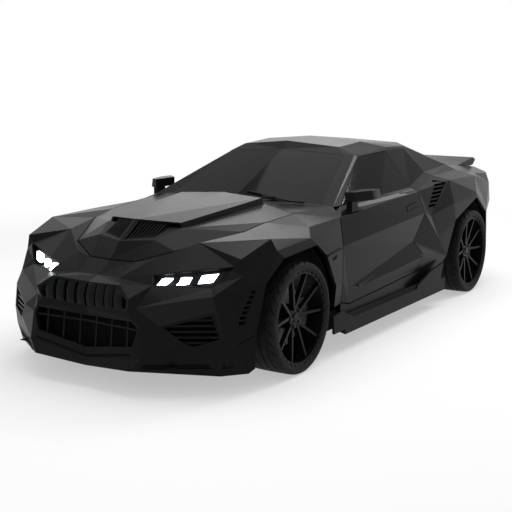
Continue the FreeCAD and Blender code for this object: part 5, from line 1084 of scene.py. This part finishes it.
# Engine bay: a cover with ribs, and valve covers with coils
COVER = ((-0.235, -1.640, 0.803), (0.235, -1.130, 0.835))
COVER_BEVEL = 0.010
RIB_PLACES = (-0.175, -0.105, -0.035, 0.035, 0.105, 0.175)
RIB_HALF_WIDTH = 0.010
RIB_LOW = (-1.600, 0.836)
RIB_HIGH = (-1.170, 0.846)
RIB_BEVEL = 0.003
VALVE_COVER = ((0.245, -1.660, 0.803), (0.315, -1.100, 0.826))
VALVE_COVER_BEVEL = 0.008
COIL_PLACES = (-1.590, -1.450, -1.310, -1.170)
COIL_MIDDLE = 0.280
COIL_LOW = 0.826
COIL_HIGH = 0.842
COIL_RADIUS = 0.014
block("engine_cover", *COVER, "dash_plastic", bevel=COVER_BEVEL)
for index, place in enumerate(RIB_PLACES):
    block(f"engine_cover_rib_{index + 1}", (place - RIB_HALF_WIDTH, *RIB_LOW),
          (place + RIB_HALF_WIDTH, *RIB_HIGH), "trim_black", bevel=RIB_BEVEL)
for side, turn in SIDES:
    side_block(f"valve_cover_{side}", turn, *VALVE_COVER, "cast_metal", bevel=VALVE_COVER_BEVEL)
    for index, place in enumerate(COIL_PLACES):
        rod(f"coil_{side}_{index + 1}", (turn * COIL_MIDDLE, place, COIL_LOW),
            (turn * COIL_MIDDLE, place, COIL_HIGH), COIL_RADIUS, "trim_black")

# Door cards on the inner side of each door: name, near and far corner, slot, bevel
DOOR_CARDS = (("door_armrest", (0.725, -0.30, 0.585), (0.767, 0.25, 0.640), "seat_leather", 0.014),
              ("door_pad", (0.752, -0.62, 0.660), (0.767, 0.42, 0.840), "seat_leather", 0.006),
              ("door_pocket", (0.752, -0.55, 0.375), (0.767, 0.05, 0.460), "dash_plastic", 0.006))
LATCH_PULL = ((0.747, -0.38, 0.745), (0.747, -0.28, 0.745))
LATCH_PULL_RADIUS = 0.008
LATCH_PULL_CORNERS = 12
for side, turn in SIDES:
    for name, near, far, slot, bevel in DOOR_CARDS:
        side_block(f"{name}_{side}", turn, near, far, slot, f"door_{side}", bevel)
    start, end = ((turn * x, y, z) for x, y, z in LATCH_PULL)
    rod(f"door_latch_pull_{side}", start, end, LATCH_PULL_RADIUS, "exhaust_steel", f"door_{side}",
        LATCH_PULL_CORNERS)

# Camera, at the photograph's place and angle
CAMERA_PLACE = Vector((4.0175, -6.7292, 1.8447))
CAMERA_AZIMUTH = math.radians(32.80)
CAMERA_ELEVATION = math.radians(10.14)
CAMERA_LENS = 69.74
SENSOR = 36
CLIP_END = 200


def make_camera():
    data = bpy.data.cameras.new("camera")
    data.lens = CAMERA_LENS
    data.sensor_width = SENSOR
    data.sensor_height = SENSOR
    data.sensor_fit = "HORIZONTAL"
    data.clip_end = CLIP_END
    camera = bpy.data.objects.new("camera", data)
    scene.collection.objects.link(camera)
    turn = Matrix.Rotation(CAMERA_AZIMUTH, 4, "Z") @ Matrix.Rotation(math.pi / 2 - CAMERA_ELEVATION, 4, "X")
    camera.matrix_world = Matrix.Translation(CAMERA_PLACE) @ turn
    scene.camera = camera


# Studio: a white floor that keeps the soft shadow and fades into the white background, and large soft lamps
FLOOR_HALF_SIZE = 60
FLOOR_ROUGHNESS = 0.9
FADE_START = 3.6
FADE_END = 7.5
FADE_LEAST = 0.45
BACKGROUND_LIGHT = 0.55
BACKGROUND_SEEN = 1.0
# Name, place, aim, width, height, power in watts
LAMPS = (("overhead", (0, 0.5, 6.0), (0, 0, 0), 5.0, 8.0, 300),
         ("rear_side", (3.2, 6.4, 6.4), (0.85, 0.0, 0.95), 2.2, 1.6, 220),
         ("rear_left", (-4.6, 7.2, 4.4), (0, -0.8, 0.9), 5.0, 1.8, 45),
         ("front_fill", (1.5, -8.0, 3.5), (0, 0, 0.6), 5.0, 2.5, 60))


def background_strength(tree):
    # White to the camera, mirrors and glass, and a plain level as light
    path = tree.nodes.new("ShaderNodeLightPath")
    seen = path.outputs["Is Camera Ray"]
    for other in ("Is Glossy Ray", "Is Transmission Ray"):
        add = tree.nodes.new("ShaderNodeMath")
        add.operation = "MAXIMUM"
        tree.links.new(seen, add.inputs[0])
        tree.links.new(path.outputs[other], add.inputs[1])
        seen = add.outputs["Value"]
    return spread(tree, seen, BACKGROUND_LIGHT, BACKGROUND_SEEN)


def floor_material():
    material, tree, shader = fresh_material("studio_floor_white")
    shader.inputs["Base Color"].default_value = FLOOR_WHITE
    shader.inputs["Roughness"].default_value = FLOOR_ROUGHNESS
    shader.inputs["Specular IOR Level"].default_value = 0.0
    glow = tree.nodes.new("ShaderNodeEmission")
    glow.inputs["Color"].default_value = BACKGROUND_WHITE
    tree.links.new(background_strength(tree), glow.inputs["Strength"])
    distance = tree.nodes.new("ShaderNodeVectorMath")
    distance.operation = "LENGTH"
    tree.links.new(object_coordinates(tree), distance.inputs[0])
    fade = tree.nodes.new("ShaderNodeMapRange")
    fade.interpolation_type = "SMOOTHSTEP"
    fade.inputs["From Min"].default_value = FADE_START
    fade.inputs["From Max"].default_value = FADE_END
    fade.inputs["To Min"].default_value = FADE_LEAST
    tree.links.new(distance.outputs["Value"], fade.inputs["Value"])
    mix = tree.nodes.new("ShaderNodeMixShader")
    tree.links.new(fade.outputs["Result"], mix.inputs["Fac"])
    tree.links.new(shader.outputs["BSDF"], mix.inputs[1])
    tree.links.new(glow.outputs["Emission"], mix.inputs[2])
    tree.links.new(mix.outputs["Shader"], tree.nodes["Material Output"].inputs["Surface"])
    return material


def make_floor():
    mesh = bpy.data.meshes.new("floor")
    half = FLOOR_HALF_SIZE
    corners = [(-half, -half, 0), (half, -half, 0), (half, half, 0), (-half, half, 0)]
    mesh.from_pydata(corners, [], [(0, 1, 2, 3)])
    floor = bpy.data.objects.new("floor", mesh)
    scene.collection.objects.link(floor)
    floor.data.materials.append(floor_material())


def make_world():
    world = bpy.data.worlds.new("studio_world")
    scene.world = world
    world.use_nodes = True
    tree = world.node_tree
    shader = tree.nodes["Background"]
    shader.inputs["Color"].default_value = BACKGROUND_WHITE
    tree.links.new(background_strength(tree), shader.inputs["Strength"])


def area_lamp(name, place, aim, width, height, power):
    data = bpy.data.lights.new(name, "AREA")
    data.shape = "RECTANGLE"
    data.size = width
    data.size_y = height
    data.energy = power
    lamp = bpy.data.objects.new(name, data)
    scene.collection.objects.link(lamp)
    direction = (Vector(aim) - Vector(place)).normalized()
    lamp.matrix_world = Matrix.Translation(place) @ direction.to_track_quat("-Z", "Y").to_matrix().to_4x4()


make_camera()
make_floor()
make_world()
for measures in LAMPS:
    area_lamp(*measures)
scene.view_settings.view_transform = "Standard"
